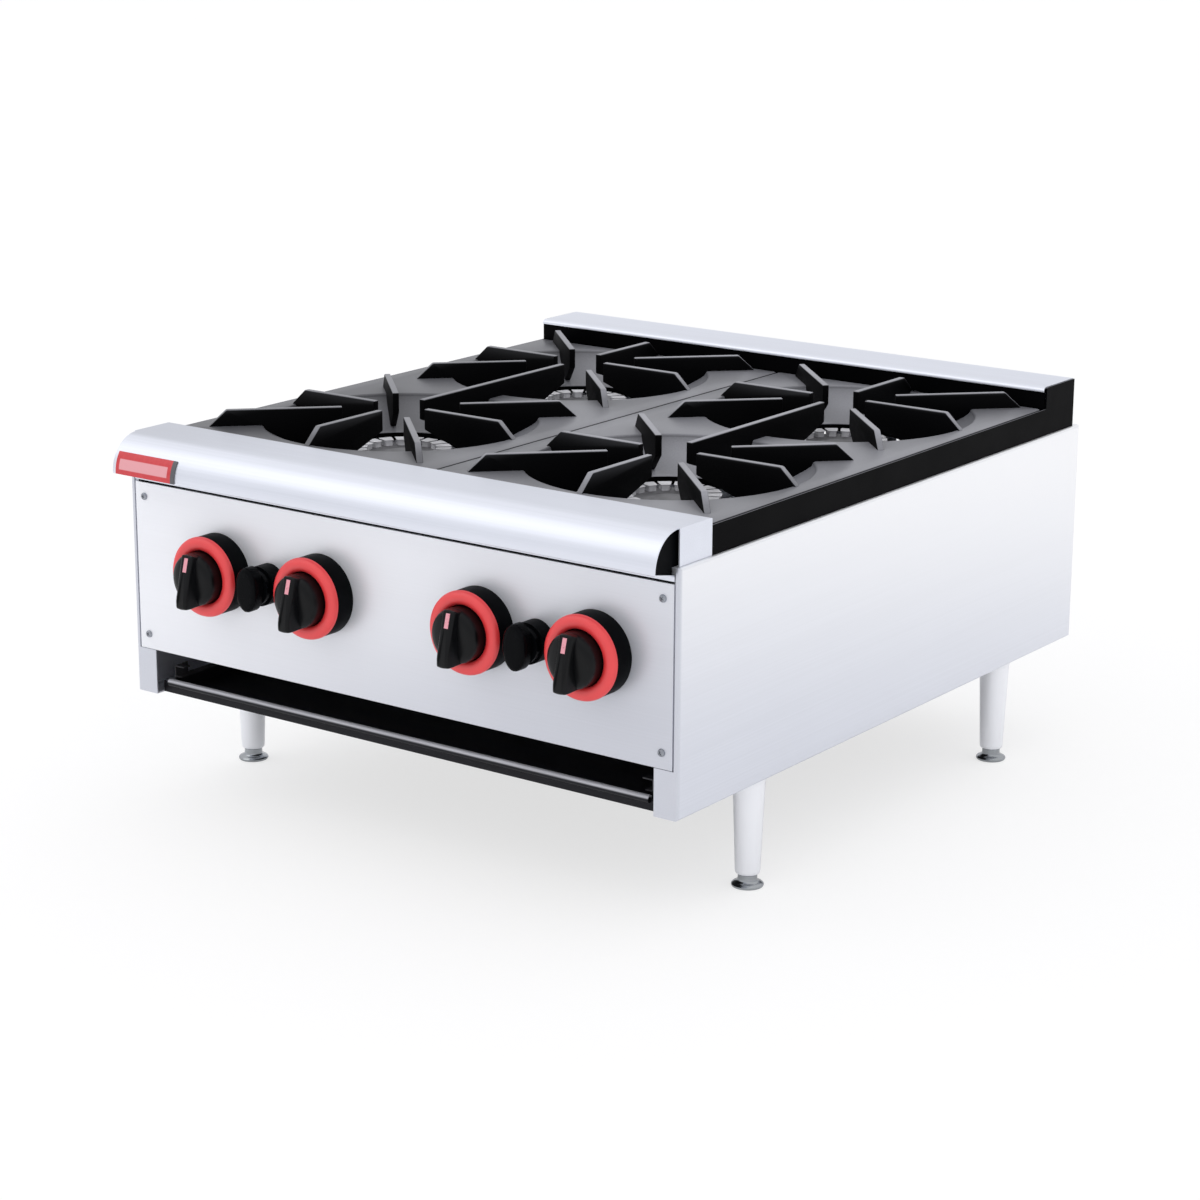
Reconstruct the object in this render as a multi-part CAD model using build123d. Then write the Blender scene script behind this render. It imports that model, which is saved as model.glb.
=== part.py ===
from build123d import *
import math
import os

os.makedirs("parts", exist_ok=True)

# The pieces are drawn in the casing's own frame: X 0 is the middle, Y 0 the front panel's face
# and Z 0 the underside of the side panels. The last step moves them to the part's frame.

# Overall sizes
body_width = 610.0
body_depth = 684.0
side_height = 214.0
leg_height = 100.0
knob_reach = 53.0
inlet_end = 713.0
sheet = 1.2
frame_sheet = 1.5

half_width = body_width / 2
side_inner = half_width - sheet
front_y = (knob_reach - inlet_end) / 2

# Front: slot for the tray, panel and ledge
post_inner = 281.0
slot_height = 42.0
panel_half_width = 299.1
panel_bottom = 42.5
panel_top = 200.0
panel_side_return = 3.6
groove_width = 1.6
panel_return = 14.0
screw_x = 288.5
screw_zs = (56.5, 187.0)
screw_hole = 2.1
screw_radius = 2.0
rear_screw_x = 294.0
ledge_half_width = 301.5
nose_half_width = 299.3
ledge_top = 246.0
ledge_rear = 50.0
ledge_gap = 0.2
nose_front = -28.0
nose_bottom = 212.4
strip_top = 206.5
strip_bottom = 202.3
nose_bend = 32.5
side_flange_front = 3.9

# Controls, from left to right
knob_xs = (-197.0, -76.0, 101.0, 222.0)
igniter_xs = (-136.5, 161.5)
control_z = 130.2
control_hole = 12.0
bezel_radius = 36.2
bezel_reach = 20.0
ring_radius = 36.6
ring_reach = 26.0
ring_bore = 24.6
hub_radius = 24.0
grip_width = 12.5
stem_radius = 4.0
stem_flat = 2.5
button_half_width = 12.0
button_half_height = 20.3
button_skirt = 16.0

# Grates: two castings, each with a front and a rear rosette
rosette_x = 152.5
rosette_ys = (203.0, 484.0)
casting_inner = 1.0
casting_outer = 298.8
casting_front = 52.0
casting_rear = 614.5
deck_top = 240.4
deck_thickness = 5.0
rim_bottom = 228.2
rim_width = 6.0
opening_radius = 128.0
bowl_foot_radius = 74.0
bowl_hole_radius = 70.0
bowl_bottom = 206.5
fin_top = 255.7
fin_thickness = 6.0
fin_inner = 30.0
fin_reach = 117.0
diagonal_inner = 55.0
corner_reach = 162.0
middle_reach = 149.0
fin_slope = 16.5

# Top frame and rear rail
rail_outer = 301.5
rail_inner = 288.4
rail_top = 239.5
upstand_front = 619.5
upstand_rear = 675.5
upstand_top = 260.5
cross_half = 288.0
cross_web_half = 284.5
cross_web_bottom = 200.0
rear_rail_front = 616.0
rear_rail_back = 677.5
rear_rail_top = 261.0
rear_rail_lip = 256.5
rear_rail_half = 299.7

# Gas line
manifold_y = 45.0
manifold_z = 95.0
manifold_left = -250.0
manifold_right = 240.0
pipe_radius = 13.3
pipe_bore = 10.5
supply_x = 268.0
supply_end = 676.0
inlet_thread = 16.0
valve_neck = 5.9
nozzle_tip = 91.0

# Burners
mouth_y = 88.0
tube_start = 97.0
support_ys = (104.0, 385.0)
tube_radius = 15.0
tube_bore = 11.5
head_radius = 46.0
head_joint = 206.0
head_top = 215.0
electrode_offset = 54.0
electrode_radius = 3.6
electrode_foot = 186.0
lead_offset = 5.0
lead_start = 60.0

# Drip tray and its runners
tray_half_width = 269.2
tray_front_half = 280.3
lip_half = 272.0
tray_front_y = 8.7
tray_rear = 612.0
tray_bottom = 2.7
tray_wall_top = 13.5
tray_sheet = 1.0
lip_radius = 3.45
lip_y = 8.0
lip_z = 10.95
runner_inner = 258.0
runner_outer = 271.2
runner_front = 14.0
runner_rear = 640.0

# Legs and feet
leg_x = 287.0
leg_ys = (134.0, 564.0)
leg_end = -88.0
leg_bolt_radius = 5.0
leg_bolt_hole = 5.3
plate_thickness = 3.0
foot_radius = 14.3
foot_stem = 6.0

# Clearances: a shaft in its bore, and pieces that only pass each other
running = 0.05
easy = 0.3

# How far a cut runs past a face, and how deep it goes from outside a sheet
past = 1.0
through = 5.0


def block(x0, x1, y0, y1, z0, z1):
    """A box between two corners."""
    centre = Pos((x0 + x1) / 2, (y0 + y1) / 2, (z0 + z1) / 2)
    return centre * Box(x1 - x0, y1 - y0, z1 - z0)


def rod_x(y, z, radius, x0, x1):
    """A cylinder along X."""
    return Pos((x0 + x1) / 2, y, z) * Rot(0, 90, 0) * Cylinder(radius, x1 - x0)


def rod_y(x, z, radius, y0, y1):
    """A cylinder along Y."""
    return Pos(x, (y0 + y1) / 2, z) * Rot(90, 0, 0) * Cylinder(radius, y1 - y0)


def rod_z(x, y, radius, z0, z1):
    """A cylinder along Z."""
    return Pos(x, y, (z0 + z1) / 2) * Cylinder(radius, z1 - z0)


def hex_y(x, z, corner_radius, y0, y1):
    """A hexagonal bar along Y."""
    return Pos(x, y1, z) * Rot(90, 0, 0) * extrude(RegularPolygon(corner_radius, 6), y1 - y0)


def hex_z(x, y, corner_radius, z0, z1):
    """A hexagonal bar along Z."""
    return Pos(x, y, z0) * extrude(RegularPolygon(corner_radius, 6), z1 - z0)


def flat(*points):
    """A flat face inside straight lines through the points."""
    return make_face(Polyline(*points, close=True))


def turned_y(x, z, *profile):
    """A solid turned about an axis along Y, from points (radius, y)."""
    return Pos(x, 0, z) * revolve(flat(*profile), Axis.Y)


def turned_z(x, y, *profile):
    """A solid turned about an axis along Z, from points (radius, z)."""
    return Pos(x, y, 0) * revolve(Plane.XZ * flat(*profile), Axis.Z)


def offset_corners(points, thickness):
    """The points of a line moved to its left, so that each run stays parallel."""
    moved = []
    last = len(points) - 1
    for k, point in enumerate(points):
        normals = []
        for start, end in ((points[max(k - 1, 0)], point), (point, points[min(k + 1, last)])):
            length = math.dist(start, end)
            if length > 0:
                normals.append(((start[1] - end[1]) / length, (end[0] - start[0]) / length))
        first, second = normals[0], normals[-1]
        scale = thickness / (1 + first[0] * second[0] + first[1] * second[1])
        moved.append(
            (point[0] + (first[0] + second[0]) * scale, point[1] + (first[1] + second[1]) * scale)
        )
    return moved


def folded(points, thickness, bends):
    """Section of folded sheet: points on its outer skin, the sheet on their left, a bend each."""
    inner = offset_corners(points, thickness)
    inner_bends = []
    for k, bend in enumerate(bends):
        before, corner, after = points[k:k + 3]
        run_in = (corner[0] - before[0], corner[1] - before[1])
        run_out = (after[0] - corner[0], after[1] - corner[1])
        left_turn = run_in[0] * run_out[1] - run_in[1] * run_out[0] > 0
        inner_bends.append(bend - thickness if left_turn else bend + thickness)
    skin = FilletPolyline(*points, radius=bends)
    back = FilletPolyline(*inner, radius=inner_bends)
    ends = [Line(points[0], inner[0]), Line(points[-1], inner[-1])]
    return make_face(Curve() + [skin, back] + ends)


def along_x(section, x0, x1):
    """A section in (y, z) drawn out from one X to another."""
    return Pos(x0, 0, 0) * extrude(Plane.YZ * section, x1 - x0)


def mirrored(shape):
    """The same piece on the other side."""
    return mirror(shape, Plane.YZ)


def save(name, *solids):
    """Move a piece to the part's frame and write its file."""
    shape = solids[0] if len(solids) == 1 else Compound(list(solids))
    export_step(Pos(0, front_y, leg_height) * shape, f"parts/{name}.step")


# Casing


def side_panel():
    """Right side panel: a wall with flanges folded inwards all round."""
    bend = 2.5
    flange_inner = 285.0
    top_inside = side_height - sheet
    rear_inside = body_depth - sheet
    strip_inner = panel_half_width + groove_width
    groove_wall = strip_inner + sheet
    flange_rear = panel_side_return + sheet
    above = side_height + past
    shell = block(runner_inner, half_width, 0, body_depth, 0, side_height)
    shell = fillet(shell.faces().sort_by(Axis.X)[-1].edges(), bend)
    hollow = block(0, side_inner, sheet, rear_inside, sheet, top_inside)
    hollow = fillet(hollow.faces().sort_by(Axis.X)[-1].edges(), bend - sheet)
    shell -= hollow
    # each flange is cut back to its own width
    shell -= block(0, post_inner, -past, sheet, -past, above)
    shell -= block(0, post_inner, -past, runner_front, -past, 2 * sheet)
    shell -= block(0, flange_inner, -past, body_depth + past, top_inside - past, above)
    shell -= block(0, flange_inner, rear_inside, body_depth + past, -past, side_height)
    # the front flange steps back behind the front panel, at its side and at its foot
    post_top = slot_height - sheet
    shell -= block(0, strip_inner, -past, sheet, slot_height, above)
    shell += block(strip_inner, groove_wall, 0, flange_rear, post_top, top_inside)
    shell += block(post_inner, groove_wall, 0, flange_rear, post_top, slot_height)
    shell += block(post_inner, groove_wall, panel_side_return, flange_rear, post_top, top_inside)
    for z in screw_zs:
        shell -= rod_y(screw_x, z, screw_hole, -past, through)
        shell -= rod_y(rear_screw_x, z, screw_hole, body_depth - through, body_depth + past)
    for y in leg_ys:
        shell -= rod_z(leg_x, y, leg_bolt_hole, -past, through)
    return shell


def front_panel():
    """Front panel: a flat sheet with a return on each of its edges."""
    half = panel_half_width
    return_half = 279.5
    panel = block(-half, half, 0, sheet, panel_bottom, panel_top)
    for x in (-half, half - sheet):
        panel += block(x, x + sheet, 0, panel_side_return, panel_bottom, panel_top)
    for z in (panel_bottom, panel_top - sheet):
        panel += block(-return_half, return_half, 0, panel_return, z, z + sheet)
    for x in knob_xs + igniter_xs:
        panel -= rod_y(x, control_z, control_hole, -past, through)
    for x in (-screw_x, screw_x):
        for z in screw_zs:
            panel -= rod_y(x, z, screw_hole, -past, through)
    return panel


def back_panel():
    """Back panel between the side panels, with vent slots and the inlet hole."""
    half = side_inner - 1.5
    outer = body_depth - sheet
    inner = outer - sheet
    bottom = sheet + 0.2
    top = side_height - bottom
    fold = 15.0
    panel = block(-half, half, inner, outer, bottom, top)
    # the folds stop short of the side panels' flanges, and the lower one of the inlet
    upper_half = half - 2
    lower_half = half - 60
    panel += block(-upper_half, upper_half, inner - fold, outer, top - sheet, top)
    panel += block(-lower_half, lower_half, inner - fold, outer, bottom, bottom + sheet)
    vent_length, vent_width = 46.0, 8.0
    vent_count = 14
    vent_pitch = 30.0
    vent_z = 168.0
    vent = extrude(SlotOverall(vent_length, vent_width, rotation=90), through, both=True)
    for k in range(vent_count):
        x = (k - (vent_count - 1) / 2) * vent_pitch
        panel -= Pos(x, outer, vent_z) * Rot(90, 0, 0) * vent
    panel -= rod_y(supply_x, manifold_z, pipe_radius + past, inner - past, outer + past)
    for x in (-rear_screw_x, rear_screw_x):
        for z in screw_zs:
            panel -= rod_y(x, z, screw_hole, inner - past, outer + past)
    return panel


def screw(x, z, face_y, outward):
    """A slotted pan-head screw along Y: its head stands outward (-1 front, 1 rear) of a face."""
    head_radius = 3.4
    head_height = 2.0
    slot_width = 1.0
    slot_depth = 0.8
    shank = 8.0
    head = rod_z(0, 0, head_radius, 0, head_height)
    head = fillet(head.edges().sort_by(Axis.Z)[-1:], 1.2)
    slot = Box(slot_width, 2 * head_radius + past, 2 * slot_depth)
    head -= Pos(0, 0, head_height) * slot
    piece = head + rod_z(0, 0, screw_radius, -shank, 0)
    return Pos(x, face_y, z) * Rot(-90 * outward, 0, 0) * piece


def panel_screws():
    """Screws at the corners of the front panel and of the back panel."""
    front = [screw(x, z, 0, -1) for x in (-screw_x, screw_x) for z in screw_zs]
    rear = [screw(x, z, body_depth, 1) for x in (-rear_screw_x, rear_screw_x) for z in screw_zs]
    return front + rear


# Front ledge


ledge_skin = (
    (ledge_rear, 205.0),
    (ledge_rear, ledge_top),
    (nose_front, ledge_top),
    (nose_front, nose_bottom),
    (0, strip_top),
    (0, strip_bottom),
)


def front_ledge():
    """Front ledge: one folded sheet with a round nose, a strip below it and end flanges."""
    bends = [2.5, nose_bend, 1.3, 0.6]
    section = folded(ledge_skin, sheet, bends)
    ledge = along_x(section, -ledge_half_width, ledge_half_width)
    outside = ledge_half_width + past
    flange_bottom = side_height + ledge_gap
    flange_top = ledge_top - sheet / 2
    for side in (-1, 1):
        # the nose is shorter than the ledge, and the part below the top frame shorter still
        x0, x1 = sorted((side * nose_half_width, side * outside))
        ledge -= block(x0, x1, nose_front - past, side_flange_front, 0, ledge_top + past)
        x0, x1 = sorted((side * cross_web_half, side * outside))
        ledge -= block(x0, x1, side_flange_front, ledge_rear + past, 0, flange_bottom)
        x0, x1 = sorted((side * (ledge_half_width - sheet), side * ledge_half_width))
        ledge += block(x0, x1, side_flange_front, ledge_rear, flange_bottom, flange_top)
    return ledge


def nose_arc_point(radius, degrees):
    """A point (y, z) at an angle round the nose's bend."""
    angle = math.radians(degrees)
    centre = (nose_front + nose_bend, ledge_top - nose_bend)
    return centre[0] + radius * math.cos(angle), centre[1] + radius * math.sin(angle)


def ledge_end_plugs():
    """Black plugs set into both open ends of the nose, their feet in front of the strip."""
    gap = sheet + 0.1
    depth = 1.5
    recess = 2.5
    rear = 22.0
    foot_rear = -ledge_gap
    above_side = side_height + ledge_gap
    upper, lower, strip = offset_corners(ledge_skin, gap)[2:5]
    fall = (lower[1] - strip[1]) / (strip[0] - lower[0])
    foot = (foot_rear, lower[1] - fall * (foot_rear - lower[0]))
    nose = FilletPolyline((rear, upper[1]), upper, lower, radius=nose_bend - gap)
    closing = Polyline(lower, foot, (foot_rear, above_side), (rear, above_side), (rear, upper[1]))
    section = make_face(Curve() + [nose, closing])
    right = along_x(section, nose_half_width - recess - depth, nose_half_width - recess)
    return [mirrored(right), right]


def badge_plate():
    """A bare name plate, curved to the nose at its left end."""
    left, right = -294.8, -222.8
    thickness = 1.0
    foot = nose_bottom + 0.4
    bottom_angle, top_angle = 180.0, 145.0
    middle_angle = (bottom_angle + top_angle) / 2
    outer = nose_bend + thickness
    sides = []
    for radius in (nose_bend, outer):
        lower = nose_arc_point(radius, bottom_angle)
        middle = nose_arc_point(radius, middle_angle)
        upper = nose_arc_point(radius, top_angle)
        sides.append(ThreePointArc(lower, middle, upper))
    top_end = Line(sides[0] @ 1, sides[1] @ 1)
    feet = [(nose_front, foot), (nose_front - thickness, foot)]
    bottom_end = Polyline(sides[0] @ 0, *feet, sides[1] @ 0)
    return along_x(make_face(Curve() + sides + [top_end, bottom_end]), left, right)


# Top frame


def top_rail():
    """Right rail of the black top frame: a foot, an upright web with a raised rear, and a shelf."""
    web_inner = rail_outer - frame_sheet
    foot_top = side_height + frame_sheet
    shelf_bottom = rim_bottom - frame_sheet
    corner_bend = 3.0
    start = ledge_rear + ledge_gap
    shelf_start = start + 2
    rail = block(web_inner, rail_outer, start, upstand_rear, side_height, rail_top)
    upstand = block(web_inner, rail_outer, upstand_front, upstand_rear, side_height, upstand_top)
    top_edges = upstand.edges().filter_by(Axis.X).sort_by(Axis.Z)[-2:]
    rail += fillet(top_edges.sort_by(Axis.Y)[:1], corner_bend)
    rail += block(rail_inner, rail_outer, shelf_start, upstand_rear, side_height, foot_top)
    rail += block(rail_inner, rail_outer, shelf_start, rear_rail_front, shelf_bottom, rim_bottom)
    return rail


def front_cross_rail():
    """Front cross rail, behind the ledge."""
    web_rear = ledge_rear + frame_sheet
    shelf_rear = 66.0
    shelf_bottom = rim_bottom - frame_sheet
    low_half, half = cross_web_half, cross_half
    rail = block(-low_half, low_half, ledge_rear, web_rear, cross_web_bottom, side_height)
    rail += block(-half, half, ledge_rear, web_rear, side_height, rim_bottom)
    return rail + block(-half, half, ledge_rear, shelf_rear, shelf_bottom, rim_bottom)


def rear_cross_rail():
    """Rear cross rail, under the rear rail: its shelf is cut round the grates' bowls."""
    web_y = rear_rail_front + sheet + ledge_gap
    web_rear = web_y + frame_sheet
    web_top = rear_rail_lip + 0.3
    shelf_front = 600.0
    bowl_clearance = 8.5
    wide_bottom = side_height + frame_sheet + easy
    low_half, half, wide_half = cross_web_half, cross_half, rear_rail_half
    shelf = block(-half, half, shelf_front, web_rear, rim_bottom - frame_sheet, rim_bottom)
    for x in (-rosette_x, rosette_x):
        cut_radius = opening_radius + bowl_clearance
        shelf -= rod_z(x, rosette_ys[1], cut_radius, rim_bottom - through, rim_bottom + through)
    rail = block(-low_half, low_half, web_y, web_rear, cross_web_bottom, side_height)
    rail += block(-half, half, web_y, web_rear, side_height, wide_bottom)
    rail += block(-wide_half, wide_half, web_y, web_rear, wide_bottom, web_top)
    return rail + shelf


def rear_rail():
    """Rear rail: a folded cap over the flue, with outlet slots in its rear face."""
    skin = [
        (rear_rail_back, side_height + ledge_gap),
        (rear_rail_back, rear_rail_top),
        (rear_rail_front, rear_rail_top),
        (rear_rail_front, rear_rail_lip),
    ]
    bends = [2.5, 4]
    rail = along_x(folded(skin, sheet, bends), -rear_rail_half, rear_rail_half)
    outlet_length, outlet_width = 30.0, 9.0
    outlet_count = 13
    outlet_pitch = 42.0
    outlet_z = 236.0
    outlet = extrude(SlotOverall(outlet_length, outlet_width), through, both=True)
    for k in range(outlet_count):
        x = (k - (outlet_count - 1) / 2) * outlet_pitch
        rail -= Pos(x, rear_rail_back, outlet_z) * Rot(90, 0, 0) * outlet
    return rail


# Grates


def bowl(y):
    """Dished bowl round a burner, open in the middle."""
    return turned_z(
        rosette_x,
        y,
        (opening_radius, deck_top - deck_thickness + 0.5),
        (bowl_foot_radius, bowl_bottom + 5.5),
        (bowl_foot_radius, bowl_bottom + 8),
        (bowl_hole_radius, bowl_bottom + 8),
        (bowl_hole_radius, bowl_bottom),
        (bowl_foot_radius + 2, bowl_bottom + 0.5),
        (opening_radius + 4, rim_bottom + 2.5),
        (opening_radius + 4, deck_top - deck_thickness + 0.5),
    )


def fin(y, angle, inner, reach, slope):
    """One upright fin of a rosette, its foot sunk in the bowl and the deck."""
    inner_bottom = fin_top - 19.5
    sunk = deck_top - 3
    tail = [(reach + slope, deck_top), (reach + slope, sunk)] if slope else [(reach, sunk)]
    top = [(inner, inner_bottom), (inner, fin_top), (reach, fin_top)]
    foot = [(opening_radius, deck_top - 6), (bowl_foot_radius + 14, bowl_bottom + 10)]
    plate = extrude(Plane.XZ * flat(*top, *tail, *foot), fin_thickness / 2, both=True)
    return Pos(rosette_x, y, 0) * Rot(0, 0, angle) * plate


def grate():
    """Right grate casting: rim, deck, two bowls, fins and the long bar between the rosettes."""
    x0, x1, y0, y1 = casting_inner, casting_outer, casting_front, casting_rear
    deck_bottom = deck_top - deck_thickness
    outline = block(x0, x1, y0, y1, bowl_bottom, fin_top)
    casting = block(x0, x1, y0, y1, rim_bottom, deck_top)
    casting = fillet(casting.edges().filter_by(Axis.Z), 5)
    x0, x1, y0, y1 = x0 + rim_width, x1 - rim_width, y0 + rim_width, y1 - rim_width
    casting -= block(x0, x1, y0, y1, rim_bottom - past, deck_bottom)
    for y in rosette_ys:
        casting += bowl(y)
        casting -= rod_z(rosette_x, y, opening_radius, deck_bottom - 0.7, deck_top + past)
    bar_reach = (rosette_ys[1] - rosette_ys[0]) / 2 + past
    for y, away in zip(rosette_ys, (-1, 1)):
        for angle in range(0, 360, 45):
            toward_other = math.sin(math.radians(angle)) * away < -0.01
            if angle % 90:
                reach = middle_reach if toward_other else corner_reach
                casting += fin(y, angle, diagonal_inner, reach, fin_slope)
            elif toward_other:
                casting += fin(y, angle, fin_inner, bar_reach, 0)
            else:
                casting += fin(y, angle, fin_inner, fin_reach, fin_slope)
    return casting & outline


# Controls


def knob_bezel(x):
    """Black bezel of a knob: a round cup on the panel, open in front."""
    wall, floor, lip = 3.0, 2.0, 3.0
    front = -bezel_reach
    outside = [(bezel_radius, 0), (bezel_radius, front + 1), (bezel_radius - 1, front)]
    mouth = [(ring_bore, front), (ring_bore, front + lip), (bezel_radius - wall, front + lip)]
    base = [(bezel_radius - wall, -floor), (control_hole, -floor), (control_hole, 0)]
    return turned_y(x, control_z, *outside, *mouth, *base)


def bezel_ring(x):
    """Red ring on the front of a bezel."""
    back, front = -bezel_reach, -ring_reach
    outside = [(ring_radius, back), (ring_radius, front + 1.6), (ring_radius - 2.2, front + 0.2)]
    inside = [(ring_bore + 4, front), (ring_bore, front + 0.8), (ring_bore, back)]
    return turned_y(x, control_z, *outside, *inside)


def flatted(x, radius, flat_height, y0, y1):
    """A D-shaped bar along Y, its flat on top."""
    bar = rod_y(x, control_z, radius, y0, y1)
    top = control_z + flat_height
    return bar - block(x - radius - past, x + radius + past, y0 - past, y1 + past, top, top + radius)


def valve_stem(x):
    """Turning stem from a valve to its knob."""
    tip, flat_end, inner_end = -27, -1.5, 50
    round_part = rod_y(x, control_z, stem_radius, flat_end, inner_end)
    return flatted(x, stem_radius, stem_flat, tip, flat_end) + round_part


def knob(x):
    """Black knob: a round hub with a bar grip, and a flatted bore for the stem."""
    boss_radius = 8.0
    back, hub_back, grip_back, front = -2, -12, -24, -knob_reach
    hub_front = front + 13
    boss = [(0, back), (boss_radius, back), (boss_radius, hub_back)]
    rim = [(hub_radius - 1, hub_back), (hub_radius, hub_back - 2), (hub_radius, hub_front + 7)]
    dome = [(hub_radius - 1.2, hub_front + 4), (hub_radius - 5, hub_front + 1.2), (0, hub_front)]
    hub = turned_y(x, control_z, *boss, *rim, *dome)
    half = grip_width / 2
    long_half = hub_radius + 2
    grip = block(x - half, x + half, front, grip_back, control_z - long_half, control_z + long_half)
    grip = fillet(grip.faces().sort_by(Axis.Y)[0].edges().filter_by(Axis.Z), 2.5)
    ends = [(hub_radius, grip_back), (hub_radius + 0.5, front + 4), (hub_radius - 3, front)]
    grip &= turned_y(x, control_z, (0, grip_back), *ends, (0, front))
    bore = flatted(x, stem_radius + running, stem_flat + running, -28, 0)
    return hub + grip - bore


def igniter_button(x):
    """Oval push button with a round skirt and its plunger."""
    plunger = 5.0
    front, cap_back, skirt_back, inner_end = -34.0, -21.8, -9.0, 26
    oval = Ellipse(button_half_width, button_half_height)
    cap = Pos(x, cap_back, control_z) * Rot(90, 0, 0) * extrude(oval, cap_back - front)
    cap = fillet(cap.edges().sort_by(Axis.Y)[:1], 3)
    skirt = [(button_skirt, cap_back - past), (button_skirt, skirt_back), (plunger, skirt_back)]
    stalk = [(plunger, inner_end), (0, inner_end), (0, cap_back - past)]
    return cap + turned_y(x, control_z, *skirt, *stalk)


def igniter_unit(x):
    """Piezo igniter: a collar in front of the panel, its barrel behind and two terminals."""
    collar_radius, collar_front, collar_floor = 18.0, -15.5, -2.5
    barrel_end, socket_end = 56, 34
    plunger_bore = 5 + running
    unit = rod_y(x, control_z, collar_radius, collar_front, 0)
    unit -= rod_y(x, control_z, button_skirt + easy, collar_front - past, collar_floor)
    unit += rod_y(x, control_z, control_hole - 0.2, collar_floor, sheet)
    unit += rod_y(x, control_z, 14, sheet, barrel_end)
    for offset in (-lead_offset, lead_offset):
        unit += rod_y(x + offset, control_z, 1.2, barrel_end, lead_start)
    return unit - rod_y(x, control_z, plunger_bore, collar_front - past, socket_end)


# Gas line


def gas_manifold():
    """Manifold pipe behind the controls, closed at its left end."""
    end_wall = 4.0
    left, right = manifold_left, manifold_right
    pipe = rod_x(manifold_y, manifold_z, pipe_radius, left, right)
    pipe -= rod_x(manifold_y, manifold_z, pipe_bore, left + end_wall, right + past)
    for x in knob_xs:
        pipe -= rod_z(x, manifold_y, valve_neck + 0.1, manifold_z, manifold_z + 20)
    return pipe


def gas_supply_pipe():
    """Supply pipe from the manifold's right end to the inlet at the rear."""
    start = (manifold_right, manifold_y, manifold_z)
    corner = (supply_x, manifold_y, manifold_z)
    path = FilletPolyline(start, corner, (supply_x, supply_end, manifold_z), radius=22)
    section = Plane(origin=start, z_dir=(1, 0, 0))
    pipe = sweep(section * Circle(pipe_radius), path=path)
    return pipe - sweep(section * Circle(pipe_bore), path=path)


def gas_inlet_nipple():
    """Inlet nipple that stands out of the back panel, with a hexagon to hold it by."""
    hexagon_start = body_depth + ledge_gap
    hexagon_end = inlet_end - inlet_thread
    nipple = rod_y(supply_x, manifold_z, pipe_radius, supply_end, inlet_end)
    nipple += hex_y(supply_x, manifold_z, 18, hexagon_start, hexagon_end)
    return nipple - rod_y(supply_x, manifold_z, pipe_bore, supply_end - past, inlet_end + past)


def manifold_brackets():
    """Angle brackets that hold the manifold on the side panels' front flanges."""
    outer = 237.5
    inner = outer - frame_sheet
    face = panel_side_return + sheet
    rear = 62.0
    right = block(inner, 300, face, face + frame_sheet, 78, 112)
    right += block(inner, outer, face, rear, 76, 113)
    right -= rod_x(manifold_y, manifold_z, pipe_radius + 0.1, inner - past, outer + past)
    return [mirrored(right), right]


def valve(x):
    """Gas valve on the manifold: neck, body, hexagon and a nozzle towards the burner."""
    collar_front, body_front, body_rear, hexagon_rear = 18, 28, 62, 72
    pipe_top = manifold_z + pipe_radius
    body = rod_y(x, control_z, 8, collar_front, body_front)
    body += rod_y(x, control_z, 11, body_front, body_rear)
    body += rod_z(x, manifold_y, 9, pipe_top + 0.1, control_z)
    body += rod_z(x, manifold_y, valve_neck, manifold_z + 5, pipe_top + past)
    body += hex_y(x, control_z, 9, body_rear, hexagon_rear)
    nozzle = [(0, hexagon_rear), (6, hexagon_rear), (3.5, nozzle_tip), (0, nozzle_tip)]
    body += turned_y(x, control_z, *nozzle)
    body -= rod_y(x, control_z, stem_radius + running, collar_front - past, 52)
    return body - rod_y(x, control_z, 1, nozzle_tip - 8, nozzle_tip + past)


# Burners

burner_places = tuple(
    (tube_x, rosette_x * side, rosette_ys[row])
    for tube_x, side, row in zip(knob_xs, (-1, -1, 1, 1), (0, 1, 0, 1))
)


def burner(tube_x, head_x, head_y):
    """Burner casting: a mixing tube from the nozzle, a riser and an open head."""
    swing = max(abs(head_x - tube_x), 50)
    start = (tube_x, tube_start, control_z)
    turn = (tube_x, head_y - swing, control_z)
    riser = (head_x, head_y, control_z + 31)
    path = FilletPolyline(start, turn, riser, (head_x, head_y, 188), radius=25)
    section = Plane(origin=start, z_dir=(0, 1, 0))
    mouth = [(0, mouth_y), (20, mouth_y), (20, 91), (16, 98.5), (16, 102), (0, 102)]
    cup = [(0, 176), (16, 176), (21, 183), (40, 193), (head_radius, 199)]
    rim = [(head_radius, head_joint), (0, head_joint)]
    casting = sweep(section * Circle(tube_radius), path=path)
    casting += turned_y(tube_x, control_z, *mouth)
    casting += turned_z(head_x, head_y, *cup, *rim)
    # a lug in front of the head holds the spark electrode
    electrode_y = head_y - electrode_offset
    lug_rear = head_y - head_radius + 4
    casting += block(head_x - 6, head_x + 6, electrode_y - 6, lug_rear, 199, 203)
    casting -= rod_z(head_x, electrode_y, electrode_radius + 0.1, 198, 204)
    # the hollow runs from the mouth through the tube to the head
    above = head_joint + past
    funnel = [(0, mouth_y - past), (17.5, mouth_y - past), (12, tube_start), (12, 103), (0, 103)]
    dish = [(0, 184), (12, 184), (18, 189), (37, 198), (42, 201), (42, above), (0, above)]
    casting -= sweep(section * Circle(tube_bore), path=path)
    casting -= turned_y(tube_x, control_z, *funnel)
    return casting - turned_z(head_x, head_y, *dish)


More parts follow.
